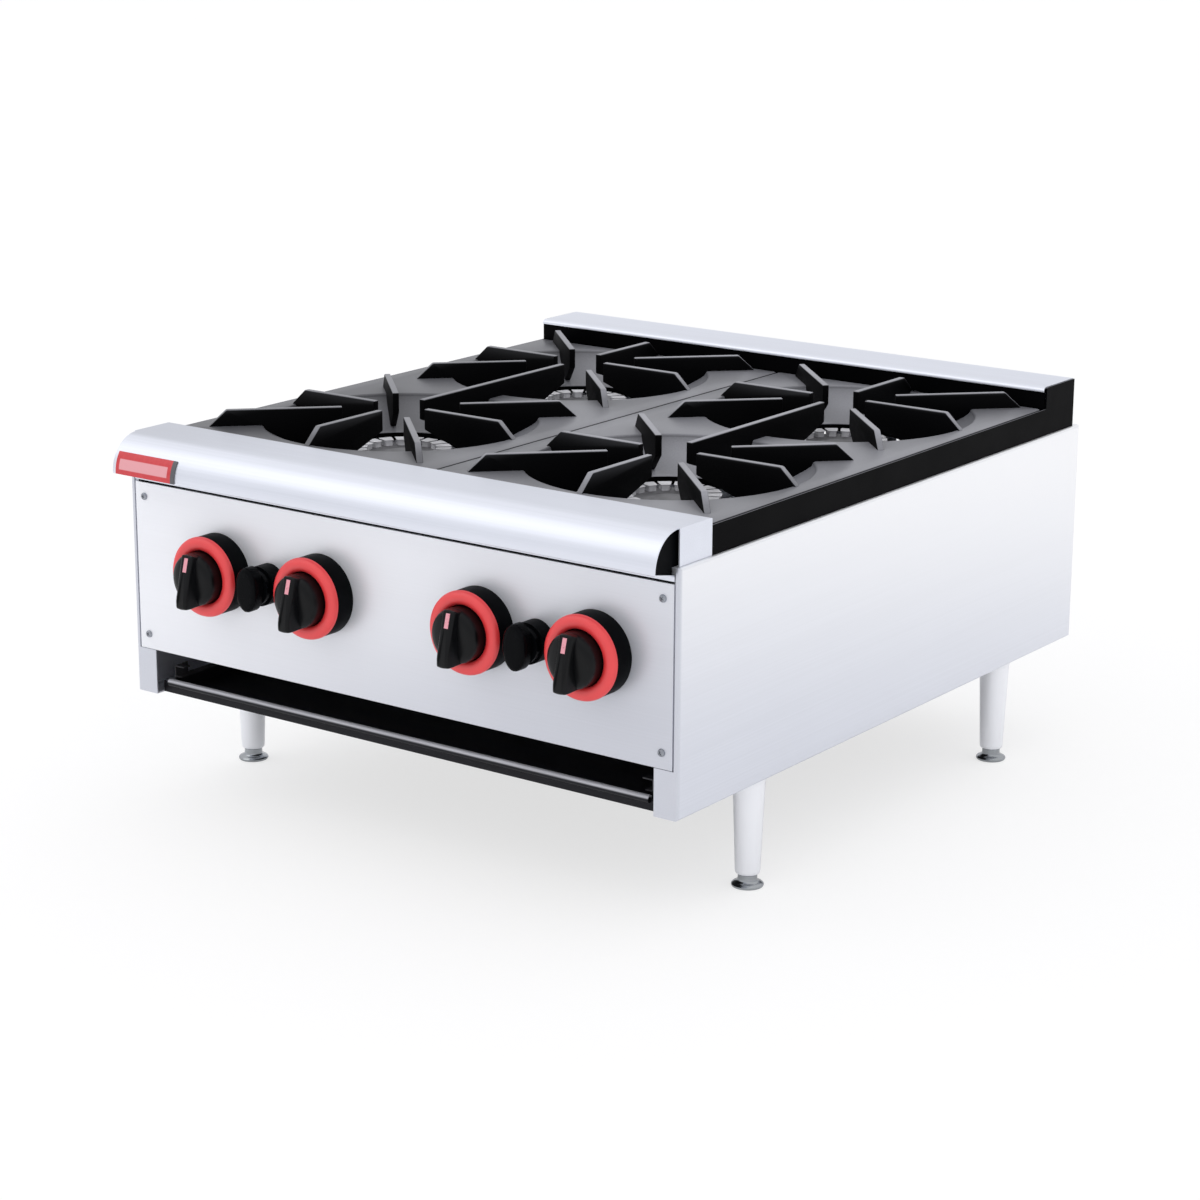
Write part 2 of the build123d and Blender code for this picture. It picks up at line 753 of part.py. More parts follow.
def burner_cap(head_x, head_y):
    """Burner cap: a crown of teeth round a low middle, located inside the head."""
    teeth = 18
    gap = 5.0
    gap_floor = head_joint + 3.5
    rim = [(head_radius, head_joint), (head_radius, head_top - 1), (head_radius - 1, head_top)]
    middle = [(34, head_top), (33, gap_floor), (14, head_joint + 5), (0, head_joint + 5)]
    cap = turned_z(head_x, head_y, (0, head_joint), *rim, *middle)
    tooth_gap = block(30, head_radius + 4, -gap / 2, gap / 2, gap_floor, head_top + past)
    for k in range(teeth):
        cap -= Pos(head_x, head_y, 0) * Rot(0, 0, 360 / teeth * k) * tooth_gap
    collar_bottom, collar_top = head_joint - 3, head_joint + past
    collar = [(37, collar_bottom), (41.8, collar_bottom), (41.8, collar_top), (37, collar_top)]
    return cap + turned_z(head_x, head_y, *collar)


def air_shutter(tube_x):
    """Air shutter disc in front of a mixing tube, with four openings round the nozzle."""
    front = mouth_y - 1.6
    before, behind = front - past, mouth_y + past
    opening_circle, opening = 12.0, 4.0
    disc = rod_y(tube_x, control_z, 20, front, mouth_y)
    disc -= rod_y(tube_x, control_z, 5.5, before, behind)
    for k in range(4):
        angle = math.radians(45 + 90 * k)
        x = tube_x + opening_circle * math.cos(angle)
        z = control_z + opening_circle * math.sin(angle)
        disc -= rod_y(x, z, opening, before, behind)
    return disc


def burner_support(y, tube_xs):
    """A cross plate between the side panels that carries mixing tubes."""
    bottom, top = 76.0, 150.0
    thickness = 2.0
    flange = 18.0
    hole_gap = 0.2
    rear = y + thickness
    plate = block(-side_inner, side_inner, y, rear, bottom, top)
    for side in (-1, 1):
        x0, x1 = sorted((side * side_inner, side * (side_inner - thickness)))
        plate += block(x0, x1, y, y + flange, bottom, top)
    for x in tube_xs:
        plate -= rod_y(x, control_z, tube_radius + hole_gap, y - past, rear + past)
    return plate - rod_y(supply_x, manifold_z, pipe_radius + hole_gap, y - past, rear + past)


def spark_electrode(head_x, head_y):
    """Ceramic spark electrode beside a burner head, with its wire tip."""
    y = head_y - electrode_offset
    ceramic_top, tip = 211, 219
    ceramic = rod_z(head_x, y, electrode_radius, electrode_foot, ceramic_top)
    return ceramic + rod_z(head_x, y, 1, ceramic_top, tip)


def igniter_lead(x, lane_x, head_x, head_y):
    """Insulated lead from an igniter's terminal to an electrode, clipped along the burners."""
    electrode_y = head_y - electrode_offset
    rise_y = 80
    lane_z = 168.0
    lead_radius = 1.5
    points = [(x, lead_start, control_z), (x, rise_y, control_z), (x, rise_y, lane_z)]
    if lane_x is not None:
        points += [(lane_x, 140, lane_z), (lane_x, electrode_y - 40, lane_z)]
    points += [(head_x, electrode_y, lane_z), (head_x, electrode_y, electrode_foot)]
    path = FilletPolyline(*points, radius=7)
    section = Plane(origin=points[0], z_dir=(0, 1, 0)) * Circle(lead_radius)
    return sweep(section, path=path)


def igniter_leads():
    """The four leads, two from each igniter unit."""
    leads = []
    for unit_x, side, lane_x in zip(igniter_xs, (-1, 1), (-105, 190)):
        near, far = (unit_x - lead_offset, unit_x + lead_offset)
        leads.append(igniter_lead(near, None, side * rosette_x, rosette_ys[0]))
        leads.append(igniter_lead(far, lane_x, side * rosette_x, rosette_ys[1]))
    return leads


# Drip tray


def drip_tray():
    """Drip tray: a shallow pan with a front plate and a rolled lip to pull it by."""
    half, front_half = tray_half_width, tray_front_half
    front, rear, bottom, wall_top = tray_front_y, tray_rear, tray_bottom, tray_wall_top
    plate_bottom = 0.6
    tray = block(-half, half, front, rear, bottom, bottom + tray_sheet)
    tray += block(-half, half, rear - tray_sheet, rear, bottom, wall_top)
    for x in (-half, half - tray_sheet):
        tray += block(x, x + tray_sheet, front, rear, bottom, wall_top)
    tray += block(-front_half, front_half, front, front + tray_sheet, plate_bottom, lip_z)
    tray += rod_x(lip_y, lip_z, lip_radius, -lip_half, lip_half)
    lip_bore = lip_radius - tray_sheet
    return tray - rod_x(lip_y, lip_z, lip_bore, -lip_half - past, lip_half + past)


def tray_runner():
    """Right tray runner: a channel on the side panel's bottom flange, with a front ear."""
    inner, outer, front, rear = runner_inner, runner_outer, runner_front, runner_rear
    web = outer - sheet
    base = sheet
    guide_bottom, guide_top = 15.0, 16.2
    ear_bottom, ear_top = 24.8, 26.0
    runner = block(inner, outer, front, rear, base, 2 * sheet)
    runner += block(web, outer, front, rear, base, guide_top)
    runner += block(inner + 5, outer, front, rear, guide_bottom, guide_top)
    runner += block(web, outer, front, front + 16, base, ear_top)
    return runner + block(inner + 2, outer, front, front + 8, ear_bottom, ear_top)


# Legs and feet


def leg(x, y):
    """Tapered leg, open below for its foot and drilled on top for its bolt."""
    top_radius, shoulder, end_radius = 14.8, 14.2, 11.0
    bolt_depth, foot_bore_top = -20, -50
    collar = [(0, 0), (top_radius, 0), (top_radius, -3.5), (shoulder, -4.5)]
    body = turned_z(x, y, *collar, (end_radius, leg_end), (0, leg_end))
    body -= rod_z(x, y, leg_bolt_radius + 0.1, bolt_depth, past)
    return body - rod_z(x, y, foot_stem + running, leg_end - past, foot_bore_top)


def foot(x, y):
    """Levelling foot: a flange below the leg and a stem inside it."""
    ground = -leg_height
    collar_top = leg_end - easy
    collar_radius, stem_top = 8.5, -52
    flange = [(foot_radius - 1, ground), (foot_radius, ground + 1), (foot_radius, ground + 3)]
    collar = [(collar_radius, ground + 5.5), (collar_radius, collar_top)]
    stem = [(foot_stem, collar_top), (foot_stem, stem_top), (0, stem_top)]
    return turned_z(x, y, (0, ground), *flange, *collar, *stem)


def leg_plate(x, y):
    """Stiffening plate above the bottom flange."""
    plate = block(x - 14, x + 15, y - 20, y + 20, sheet, sheet + plate_thickness)
    return plate - rod_z(x, y, leg_bolt_hole, 0, through)


def leg_bolt(x, y):
    """Hexagon bolt through the plate and the flange into the leg."""
    seat = sheet + plate_thickness
    return hex_z(x, y, 9.5, seat, seat + 6.4) + rod_z(x, y, leg_bolt_radius, -18, seat)


# Files, one for each named piece

right_side = side_panel()
save("right_side_panel", right_side)
save("left_side_panel", mirrored(right_side))
save("front_panel", front_panel())
save("back_panel", back_panel())
save("panel_screws", *panel_screws())
save("front_ledge", front_ledge())
save("ledge_end_plugs", *ledge_end_plugs())
save("badge_plate", badge_plate())

right_rail = top_rail()
save("right_top_rail", right_rail)
save("left_top_rail", mirrored(right_rail))
save("front_cross_rail", front_cross_rail())
save("rear_cross_rail", rear_cross_rail())
save("rear_rail", rear_rail())

right_grate = grate()
save("right_grate", right_grate)
save("left_grate", mirrored(right_grate))

for number, x in enumerate(knob_xs, 1):
    save(f"knob_{number}", knob(x))
    save(f"valve_stem_{number}", valve_stem(x))
    save(f"valve_{number}", valve(x))
save("knob_bezels", *[knob_bezel(x) for x in knob_xs])
save("bezel_rings", *[bezel_ring(x) for x in knob_xs])
for side, x in zip(("left", "right"), igniter_xs):
    save(f"{side}_igniter_button", igniter_button(x))
    save(f"{side}_igniter_unit", igniter_unit(x))

save("gas_manifold", gas_manifold())
save("manifold_brackets", *manifold_brackets())
save("gas_supply_pipe", gas_supply_pipe())
save("gas_inlet_nipple", gas_inlet_nipple())

for number, place in enumerate(burner_places, 1):
    save(f"burner_{number}", burner(*place))
save("burner_caps", *[burner_cap(x, y) for _, x, y in burner_places])
save("air_shutters", *[air_shutter(x) for x in knob_xs])
save("spark_electrodes", *[spark_electrode(x, y) for _, x, y in burner_places])
save("igniter_leads", *igniter_leads())
save("front_burner_support", burner_support(support_ys[0], knob_xs))
save("rear_burner_support", burner_support(support_ys[1], knob_xs[1::2]))

save("drip_tray", drip_tray())
right_runner = tray_runner()
save("right_tray_runner", right_runner)
save("left_tray_runner", mirrored(right_runner))

leg_places = [(side * leg_x, y) for y in leg_ys for side in (-1, 1)]
leg_names = ("front_left", "front_right", "rear_left", "rear_right")
for name, place in zip(leg_names, leg_places):
    save(f"{name}_leg", leg(*place))
    save(f"{name}_foot", foot(*place))
save("leg_plates", *[leg_plate(*place) for place in leg_places])
save("leg_bolts", *[leg_bolt(*place) for place in leg_places])
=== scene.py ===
import bmesh
import bpy
import math
from mathutils import Euler, Matrix, Vector


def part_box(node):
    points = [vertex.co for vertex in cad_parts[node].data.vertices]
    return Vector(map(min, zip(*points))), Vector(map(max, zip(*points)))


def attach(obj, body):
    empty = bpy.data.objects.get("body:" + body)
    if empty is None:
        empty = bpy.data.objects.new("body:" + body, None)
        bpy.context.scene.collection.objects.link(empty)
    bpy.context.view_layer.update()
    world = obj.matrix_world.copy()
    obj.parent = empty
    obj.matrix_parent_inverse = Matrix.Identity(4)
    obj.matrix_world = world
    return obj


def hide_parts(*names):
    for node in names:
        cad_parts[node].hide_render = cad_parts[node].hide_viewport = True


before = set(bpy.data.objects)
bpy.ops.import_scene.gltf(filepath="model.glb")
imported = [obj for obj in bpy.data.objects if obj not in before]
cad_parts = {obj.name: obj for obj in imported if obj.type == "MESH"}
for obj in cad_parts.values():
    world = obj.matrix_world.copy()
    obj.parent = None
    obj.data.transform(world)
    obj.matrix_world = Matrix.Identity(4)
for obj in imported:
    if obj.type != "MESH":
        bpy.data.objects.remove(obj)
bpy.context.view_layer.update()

mm = 0.001
scene = bpy.context.scene

# Places read from the frame
cap_low, cap_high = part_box("burner_caps")
cap_radius = 46 * mm
rosette_x = cap_high.x - cap_radius
rosette_ys = (cap_low.y + cap_radius, cap_high.y - cap_radius)
grate_low, grate_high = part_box("right_grate")
fin_top = grate_high.z
fin_height = 15.3 * mm
deck_top = fin_top - fin_height
knob_names = [f"knob_{number}" for number in (1, 2, 3, 4)]
knob_places = [sum(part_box(name), Vector()) / 2 for name in knob_names]
panel_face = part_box("front_panel")[0].y


# Shader maths


class Field:
    """A value that varies over a surface, for sums in plain Python."""

    def __init__(self, finish, socket):
        self.finish = finish
        self.socket = socket

    def maths(self, operation, first, second):
        return self.finish.maths_of(operation, first, second)

    def __add__(self, other):
        return self.maths("ADD", self, other)

    def __radd__(self, other):
        return self.maths("ADD", other, self)

    def __sub__(self, other):
        return self.maths("SUBTRACT", self, other)

    def __rsub__(self, other):
        return self.maths("SUBTRACT", other, self)

    def __mul__(self, other):
        return self.maths("MULTIPLY", self, other)

    def __rmul__(self, other):
        return self.maths("MULTIPLY", other, self)


class Nodes:
    """A node tree, with one method that adds any node to it."""

    def __init__(self, tree):
        self.tree = tree

    def fill(self, socket, value):
        """Link a field to a socket, or set the socket's own value."""
        if isinstance(value, Field):
            self.tree.links.new(value.socket, socket)
        elif isinstance(value, tuple) and socket.type == "RGBA":
            socket.default_value = (*value, 1)
        else:
            socket.default_value = value

    def node(self, kind, settings=None, inputs=None, output=0):
        """Add a node, set it, fill its sockets and give back one output."""
        node = self.tree.nodes.new(kind)
        for setting, value in (settings or {}).items():
            setattr(node, setting, value)
        for socket, value in (inputs or {}).items():
            self.fill(node.inputs[socket], value)
        return Field(self, node.outputs[output])

    def place(self, stretch=(1, 1, 1)):
        """The point on the object in metres, stretched along its axes."""
        point = self.node("ShaderNodeTexCoord", output="Object")
        inputs = {0: point, 1: stretch}
        return self.node("ShaderNodeVectorMath", {"operation": "MULTIPLY"}, inputs)

    def axis(self, name, vector=None):
        """One coordinate of a vector field, or of the point on the object."""
        vector = vector or self.place()
        return self.node("ShaderNodeSeparateXYZ", inputs={0: vector}, output=name)

    def noise(self, scale, detail=2.0, stretch=(1, 1, 1)):
        """Cloudy noise, 0 to 1."""
        inputs = {"Vector": self.place(stretch), "Scale": scale, "Detail": detail}
        return self.node("ShaderNodeTexNoise", inputs=inputs)

    def spread(self, field, low, high, to_low=0.0, to_high=1.0):
        """A field taken from one range to another, smoothly and within limits."""
        settings = {"interpolation_type": "SMOOTHSTEP"}
        inputs = {0: field, 1: low, 2: high, 3: to_low, 4: to_high}
        return self.node("ShaderNodeMapRange", settings, inputs)

    def mix(self, factor, first, second):
        """A colour between two colours."""
        settings = {"data_type": "RGBA"}
        return self.node("ShaderNodeMix", settings, {0: factor, 6: first, 7: second}, 2)

    def upward(self, low=0.3, high=0.8):
        """1 on faces that look up, 0 on upright ones."""
        normal = self.node("ShaderNodeTexCoord", output="Normal")
        return self.spread(self.axis("Z", normal), low, high)

    def shown(self):
        """1 for what is seen directly or in a reflection, 0 for what lights the object."""
        camera = self.node("ShaderNodeLightPath", output="Is Camera Ray")
        glossy = self.node("ShaderNodeLightPath", output="Is Glossy Ray")
        through = self.node("ShaderNodeLightPath", output="Is Transmission Ray")
        return self.maths_of("MAXIMUM", self.maths_of("MAXIMUM", camera, glossy), through)

    def maths_of(self, operation, first, second):
        """A sum of two fields or numbers."""
        return self.node("ShaderNodeMath", {"operation": operation}, {0: first, 1: second})


class Finish(Nodes):
    """A surface finish: a material and its shader."""

    def __init__(self, name, colour, roughness, metallic=0.0, **shader_values):
        self.material = bpy.data.materials.new(name)
        self.material.use_nodes = True
        super().__init__(self.material.node_tree)
        self.shader = self.tree.nodes["Principled BSDF"]
        self.shader.inputs["Base Color"].default_value = (*colour, 1)
        self.shader.inputs["Roughness"].default_value = roughness
        self.shader.inputs["Metallic"].default_value = metallic
        for socket, value in shader_values.items():
            self.shader.inputs[socket.replace("_", " ")].default_value = value
        self.material.diffuse_color = (*colour, 1)

    def colour(self, field):
        self.fill(self.shader.inputs["Base Color"], field)

    def coat(self, field):
        self.fill(self.shader.inputs["Coat Weight"], field)

    def roughness(self, field):
        self.fill(self.shader.inputs["Roughness"], field)

    def relief(self, field, depth, strength=1.0):
        """Fine relief of a given depth in metres."""
        inputs = {"Height": field, "Distance": depth, "Strength": strength}
        bump = self.node("ShaderNodeBump", inputs=inputs)
        self.fill(self.shader.inputs["Normal"], bump)


# Finishes


plain_steel = (0.80, 0.825, 0.90)
# painted shade and painted highlight colours, mixed into the steel sheets by the painted light maps
# below
painted_shade_steel = (0.45, 0.46, 0.50)
painted_highlight_steel = (0.98, 0.985, 1.0)
enamel_black = (0.0012, 0.0012, 0.0016)


def brushed_steel(name, grain, roughness=0.28, metallic=0.75, painted_light_map=None):
    """Stainless sheet, brushed along one axis; a painted light map may paint light and shade into
    its colour.
    """
    finish = Finish(name, plain_steel, roughness, metallic)
    along, across = 3.0, 700.0
    stretch = tuple(along if letter == grain else across for letter in "XYZ")
    lines = finish.noise(1.0, 3.0, stretch)
    bands = finish.noise(1.0, 2.0, tuple(s * 0.06 for s in stretch))
    smudges = finish.noise(7.0, 3.0)
    tone = lines * 0.5 + bands * 0.3 + smudges * 0.2
    dark = tuple(channel * 0.965 for channel in plain_steel)
    light = tuple(min(channel * 1.03, 0.95) for channel in plain_steel)
    steel = finish.mix(finish.spread(tone, 0.3, 0.7), dark, light)
    # paint light and shade into the colour, where a painted light map is given
    if painted_light_map:
        steel = painted_light_map(finish, steel)
    finish.colour(steel)
    finish.roughness(roughness + lines * 0.06 + smudges * 0.06)
    finish.relief(lines, 0.02 * mm, 0.2)
    return finish.material


def side_painted_light(finish, steel):
    """Side sheets: painted highlight towards the rear top, painted shade at the foot and on the
    front flange.
    """
    depth = finish.axis("Y")
    place = depth * 0.35 + finish.axis("Z") * 2.2
    # painted shade on the front flange beside the front panel
    flange = finish.spread(depth, panel_face + 0.5 * mm, panel_face + 4 * mm, 1.0, 0.0)
    # painted shade at the foot, painted highlight towards the rear top
    shaded_copy = finish.mix(0.22, steel, painted_shade_steel)
    sheet = finish.mix(finish.spread(place, 0.15, 0.8), shaded_copy, painted_highlight_steel)
    return finish.mix(flange, sheet, finish.mix(0.45, steel, painted_shade_steel))


def front_painted_light(finish, steel):
    """Front sheet: painted highlight towards the top left, painted shade towards the foot at right.
    """
    place = finish.axis("Z") * 1.6 - finish.axis("X") * 0.6
    # painted shade towards the foot at right, painted highlight towards the top left
    shaded_copy = finish.mix(0.48, steel, painted_shade_steel)
    bright = finish.mix(0.6, steel, painted_highlight_steel)
    return finish.mix(finish.spread(place, 0.1, 0.5), shaded_copy, bright)


def ledge_painted_shade(finish, steel):
    """Ledge: painted shade on its level top, which comes out darker than the nose, most of all at
    its left end.
    """
    # painted shade, strongest at the left end of the level top
    left = finish.spread(finish.axis("X"), -0.30, -0.05, 1.0, 0.35)
    level = finish.upward(0.93, 0.99)
    return finish.mix(level * left * 0.45, steel, painted_shade_steel)


def leg_painted_light(finish, steel):
    """Legs: a painted highlight makes them brighter than the sheets."""
    return finish.mix(0.7, steel, painted_highlight_steel)


def enamelled_iron():
    """Black enamelled casting, glossy, with dust and a painted grey sheen where it looks up."""
    shine = {"Specular_IOR_Level": 0.05, "Coat_Roughness": 0.4}
    finish = Finish("enamelled_iron", enamel_black, 0.5, **shine)
    grain = finish.noise(700.0, 4.0)
    patches = finish.noise(7.0, 2.0)
    up = finish.upward(0.15, 0.6)
    height = finish.axis("Z")
    # painted light in the bowls, where the fins shade them
    bowl_painted_light = finish.spread(height, deck_top - 18 * mm, deck_top - 1 * mm, 0.32, 0.0)
    # painted sheen on the upper fins
    fin_painted_sheen = finish.spread(height, deck_top + 5 * mm, fin_top - 1 * mm, 0.0, 0.25)
    # painted shade towards the left front, broken by random patches
    place = finish.axis("X") + finish.axis("Y") * 0.4
    left_shade_and_patches = finish.spread(place, -0.32, 0.06, 0.45, 1.0)
    left_shade_and_patches = left_shade_and_patches * finish.spread(patches, 0.3, 0.6, 0.7, 1.0)
    # grey on faces that look up: dust and a painted sheen, with the painted light and shade above
    worn = up * (left_shade_and_patches * (bowl_painted_light + 0.68) + fin_painted_sheen)
    upward_grey = finish.mix(grain, (0.28, 0.283, 0.311), (0.40, 0.404, 0.444))
    finish.colour(finish.mix(worn, enamel_black, upward_grey))
    finish.roughness(0.5 + grain * 0.2)
    finish.coat(up * 0.9)
    finish.relief(grain, 0.12 * mm, 0.6)
    return finish.material


def black_enamel_sheet():
    """Black enamelled sheet of the top frame."""
    finish = Finish("black_enamel_sheet", enamel_black, 0.45, Specular_IOR_Level=0.03)
    peel = finish.noise(500.0, 2.0)
    dust = finish.noise(25.0, 3.0)
    upward_grey = finish.mix(dust, (0.09, 0.09, 0.10), (0.14, 0.14, 0.155))
    # faces that look up are lighter grey, varied by a cloudy noise
    finish.colour(finish.mix(finish.upward(0.5, 0.95), enamel_black, upward_grey))
    finish.roughness(0.38 + dust * 0.2)
    finish.relief(peel, 0.05 * mm, 0.5)
    return finish.material


def moulded_black(name, roughness=0.33, gloss=0.2):
    """Black moulded plastic."""
    finish = Finish(name, (0.002, 0.002, 0.0025), roughness, Specular_IOR_Level=gloss)
    grain = finish.noise(1500.0, 2.0)
    cloud = finish.noise(60.0, 2.0)
    finish.colour(finish.mix(cloud, (0.0012, 0.0014, 0.0018), (0.003, 0.0035, 0.0045)))
    finish.roughness(roughness - 0.05 + cloud * 0.12)
    finish.relief(grain, 0.02 * mm, 0.4)
    return finish.material


def moulded_red():
    """Glossy red plastic of the knob rings."""
    finish = Finish("moulded_red", (0.84, 0.045, 0.05), 0.4, Specular_IOR_Level=0.8)
    cloud = finish.noise(45.0, 2.0)
    grain = finish.noise(1400.0, 2.0)
    finish.colour(finish.mix(cloud, (0.78, 0.035, 0.04), (0.90, 0.055, 0.06)))
    finish.roughness(0.36 + cloud * 0.12)
    finish.relief(grain, 0.015 * mm, 0.35)
    return finish.material


def name_plate():
    """Red name plate with a plain pale field and a painted shade on its right end."""
    finish = Finish("name_plate", (0.6, 0.02, 0.03), 0.35)
    low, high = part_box("badge_plate")
    across = finish.axis("X")
    height = finish.axis("Z")
    left, right = low.x + 4 * mm, high.x - 9 * mm
    bottom, top = low.z + 4.5 * mm, high.z - 6 * mm
    edge = 0.5 * mm
    field = finish.spread(across, left - edge, left + edge)
    field = field * finish.spread(across, right - edge, right + edge, 1.0, 0.0)
    field = field * finish.spread(height, bottom - edge, bottom + edge)
    field = field * finish.spread(height, top - edge, top + edge, 1.0, 0.0)
    grain = finish.noise(300.0, 2.0)
    red = finish.mix(grain, (0.55, 0.03, 0.04), (0.68, 0.06, 0.07))
    plain = finish.mix(field, red, (0.80, 0.36, 0.39))
    # painted shade: a dark grey strip along the plate's right end
    end = finish.spread(across, high.x - 5 * mm, high.x - 4.4 * mm)
    finish.colour(finish.mix(end, plain, (0.10, 0.10, 0.11)))
    finish.roughness(0.28 + grain * 0.1)
    return finish.material


def cast_grey(name, tint, metallic=0.75):
    """Light grey burner casting."""
    finish = Finish(name, tint, 0.5, metallic)
    sand = finish.noise(1100.0, 4.0)
    heat = finish.noise(40.0, 3.0)
    dark = tuple(channel * 0.62 for channel in tint)
    finish.colour(finish.mix(finish.spread(heat, 0.3, 0.75), dark, tint))
    finish.roughness(0.4 + sand * 0.25)
    finish.relief(sand, 0.12 * mm, 0.5)
    return finish.material


def plain_metal(name, tint, roughness, metallic=1.0, grain_scale=400.0, depth=0.02):
    """Turned, drawn or plated metal with a faint grain."""
    finish = Finish(name, tint, roughness, metallic)
    grain = finish.noise(grain_scale, 3.0)
    cloud = finish.noise(30.0, 2.0)
    dark = tuple(channel * 0.8 for channel in tint)
    finish.colour(finish.mix(finish.spread(cloud, 0.25, 0.8), dark, tint))
    finish.roughness(roughness - 0.04 + grain * 0.1)
    finish.relief(grain, depth * mm, 0.4)
    return finish.material


def tray_sheet():
    """Drip tray: sheet painted near black as shade, with a painted highlight along its rolled lip.
    """
    finish = Finish("tray_sheet", (0.02, 0.02, 0.024), 0.42, 0.4, Specular_IOR_Level=0.2)
    lip_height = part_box("drip_tray")[1].z - 3.4 * mm
    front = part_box("drip_tray")[0].y
    height = finish.spread(finish.axis("Z"), lip_height, lip_height + 1.6 * mm)
    ahead = finish.spread(finish.axis("Y"), front + 5 * mm, front + 8 * mm, 1.0, 0.0)
    scuffs = finish.noise(1.0, 3.0, (20, 900, 900))
    # painted highlight along the top of the rolled front lip
    lip_highlight = height * ahead * finish.spread(scuffs, 0.2, 0.7, 0.7, 1.0)
    # painted shade: the sheet is coloured near black, varied by the streaks
    dark = finish.mix(scuffs, (0.008, 0.008, 0.01), (0.02, 0.02, 0.024))
    finish.colour(finish.mix(lip_highlight, dark, (0.50, 0.505, 0.54)))
    finish.roughness(0.34 + scuffs * 0.15)
    finish.relief(scuffs, 0.02 * mm, 0.4)
    return finish.material


def glazed_ceramic():
    """White glazed ceramic of the spark electrodes."""
    white = (0.75, 0.73, 0.68)
    finish = Finish("glazed_ceramic", white, 0.25)
    soot = finish.noise(120.0, 3.0)
    finish.colour(finish.mix(finish.spread(soot, 0.45, 0.8), white, (0.35, 0.31, 0.27)))
    finish.roughness(0.2 + soot * 0.2)
    return finish.material


def lead_rubber():
    """Silicone sleeve of the ignition leads."""
    finish = Finish("lead_rubber", (0.05, 0.012, 0.012), 0.55)
    dust = finish.noise(200.0, 3.0)
    finish.colour(finish.mix(dust, (0.03, 0.006, 0.006), (0.10, 0.02, 0.02)))
    finish.roughness(0.5 + dust * 0.2)
    return finish.material


def index_paint():
    """Pale pink paint in a knob's index groove."""
    finish = Finish("index_paint", (0.78, 0.32, 0.38), 0.4)
    wear = finish.noise(500.0, 3.0)
    worn = finish.spread(wear, 0.5, 0.8)
    finish.colour(finish.mix(worn, (0.80, 0.34, 0.40), (0.55, 0.15, 0.20)))
    finish.roughness(0.35 + wear * 0.15)
    return finish.material


finishes = {
    "side_steel": brushed_steel("side_steel", "Y", 0.3, 0.6, side_painted_light),
    "front_steel": brushed_steel("front_steel", "X", 0.34, 0.42, front_painted_light),
    "ledge_steel": brushed_steel("ledge_steel", "X", 0.34, 0.75, ledge_painted_shade),
    "rear_steel": brushed_steel("rear_steel", "X"),
    "iron": enamelled_iron(),
    "black_sheet": black_enamel_sheet(),
    "knob_black": moulded_black("knob_black", 0.3, 0.2),
    "bezel_black": moulded_black("bezel_black", 0.42, 0.03),
    "button_black": moulded_black("button_black", 0.25, 0.05),
    "plug_black": moulded_black("plug_black", 0.6, 0.05),
    "ring_red": moulded_red(),
    "index_paint": index_paint(),
    "name_plate": name_plate(),
    "burner_grey": cast_grey("burner_grey", (0.34, 0.34, 0.35)),
    "crown_dark": cast_grey("crown_dark", (0.20, 0.20, 0.21), 0.5),
    "crown_grey": cast_grey("crown_grey", (0.84, 0.84, 0.87), 0.3),
    "tray": tray_sheet(),
    "dark_zinc": plain_metal("dark_zinc", (0.05, 0.05, 0.055), 0.5, 0.6),
    "zinc": plain_metal("zinc", (0.45, 0.46, 0.48), 0.4),
    "screw_steel": plain_metal("screw_steel", (0.40, 0.42, 0.46), 0.35),
    "leg_steel": brushed_steel("leg_steel", "Z", 0.26, 0.45, leg_painted_light),
    "foot_chrome": plain_metal("foot_chrome", (0.42, 0.44, 0.46), 0.18),
    "brass": plain_metal("brass", (0.62, 0.42, 0.16), 0.33),
    "pipe_black": plain_metal("pipe_black", (0.03, 0.03, 0.032), 0.5, 0.3, 250.0, 0.08),
    "ceramic": glazed_ceramic(),
    "rubber": lead_rubber(),
}

leg_corners = ("front_left", "front_right", "rear_left", "rear_right")
node_finishes = {
    "side_steel": ("left_side_panel", "right_side_panel"),
    "front_steel": ("front_panel",),
    "ledge_steel": ("front_ledge",),
    "rear_steel": ("back_panel", "rear_rail"),
    "iron": ("left_grate", "right_grate"),
    "black_sheet": ("left_top_rail", "right_top_rail", "front_cross_rail", "rear_cross_rail"),
    "knob_black": tuple(knob_names),
    "bezel_black": ("knob_bezels", "left_igniter_unit", "right_igniter_unit"),
    "button_black": ("left_igniter_button", "right_igniter_button"),
    "plug_black": ("ledge_end_plugs",),
    "ring_red": ("bezel_rings",),
    "name_plate": ("badge_plate",),
    "burner_grey": tuple(f"burner_{number}" for number in (1, 2, 3, 4)),
    "crown_grey": ("burner_caps",),
    "tray": ("drip_tray",),
    "dark_zinc": (
        "left_tray_runner",
        "right_tray_runner",
        "manifold_brackets",
        "front_burner_support",
        "rear_burner_support",
        "air_shutters",
    ),
    "zinc": ("leg_plates", "leg_bolts", *(f"valve_stem_{number}" for number in (1, 2, 3, 4))),
    "screw_steel": ("panel_screws",),
    "leg_steel": tuple(corner + "_leg" for corner in leg_corners),
    "foot_chrome": tuple(corner + "_foot" for corner in leg_corners),
    "brass": tuple(f"valve_{number}" for number in (1, 2, 3, 4)),
    "pipe_black": ("gas_manifold", "gas_supply_pipe", "gas_inlet_nipple"),
    "ceramic": ("spark_electrodes",),
    "rubber": ("igniter_leads",),
}

for finish_name, nodes in node_finishes.items():
    for node_name in nodes:
        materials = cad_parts[node_name].data.materials
        materials.clear()
        materials.append(finishes[finish_name])


# Mesh tools


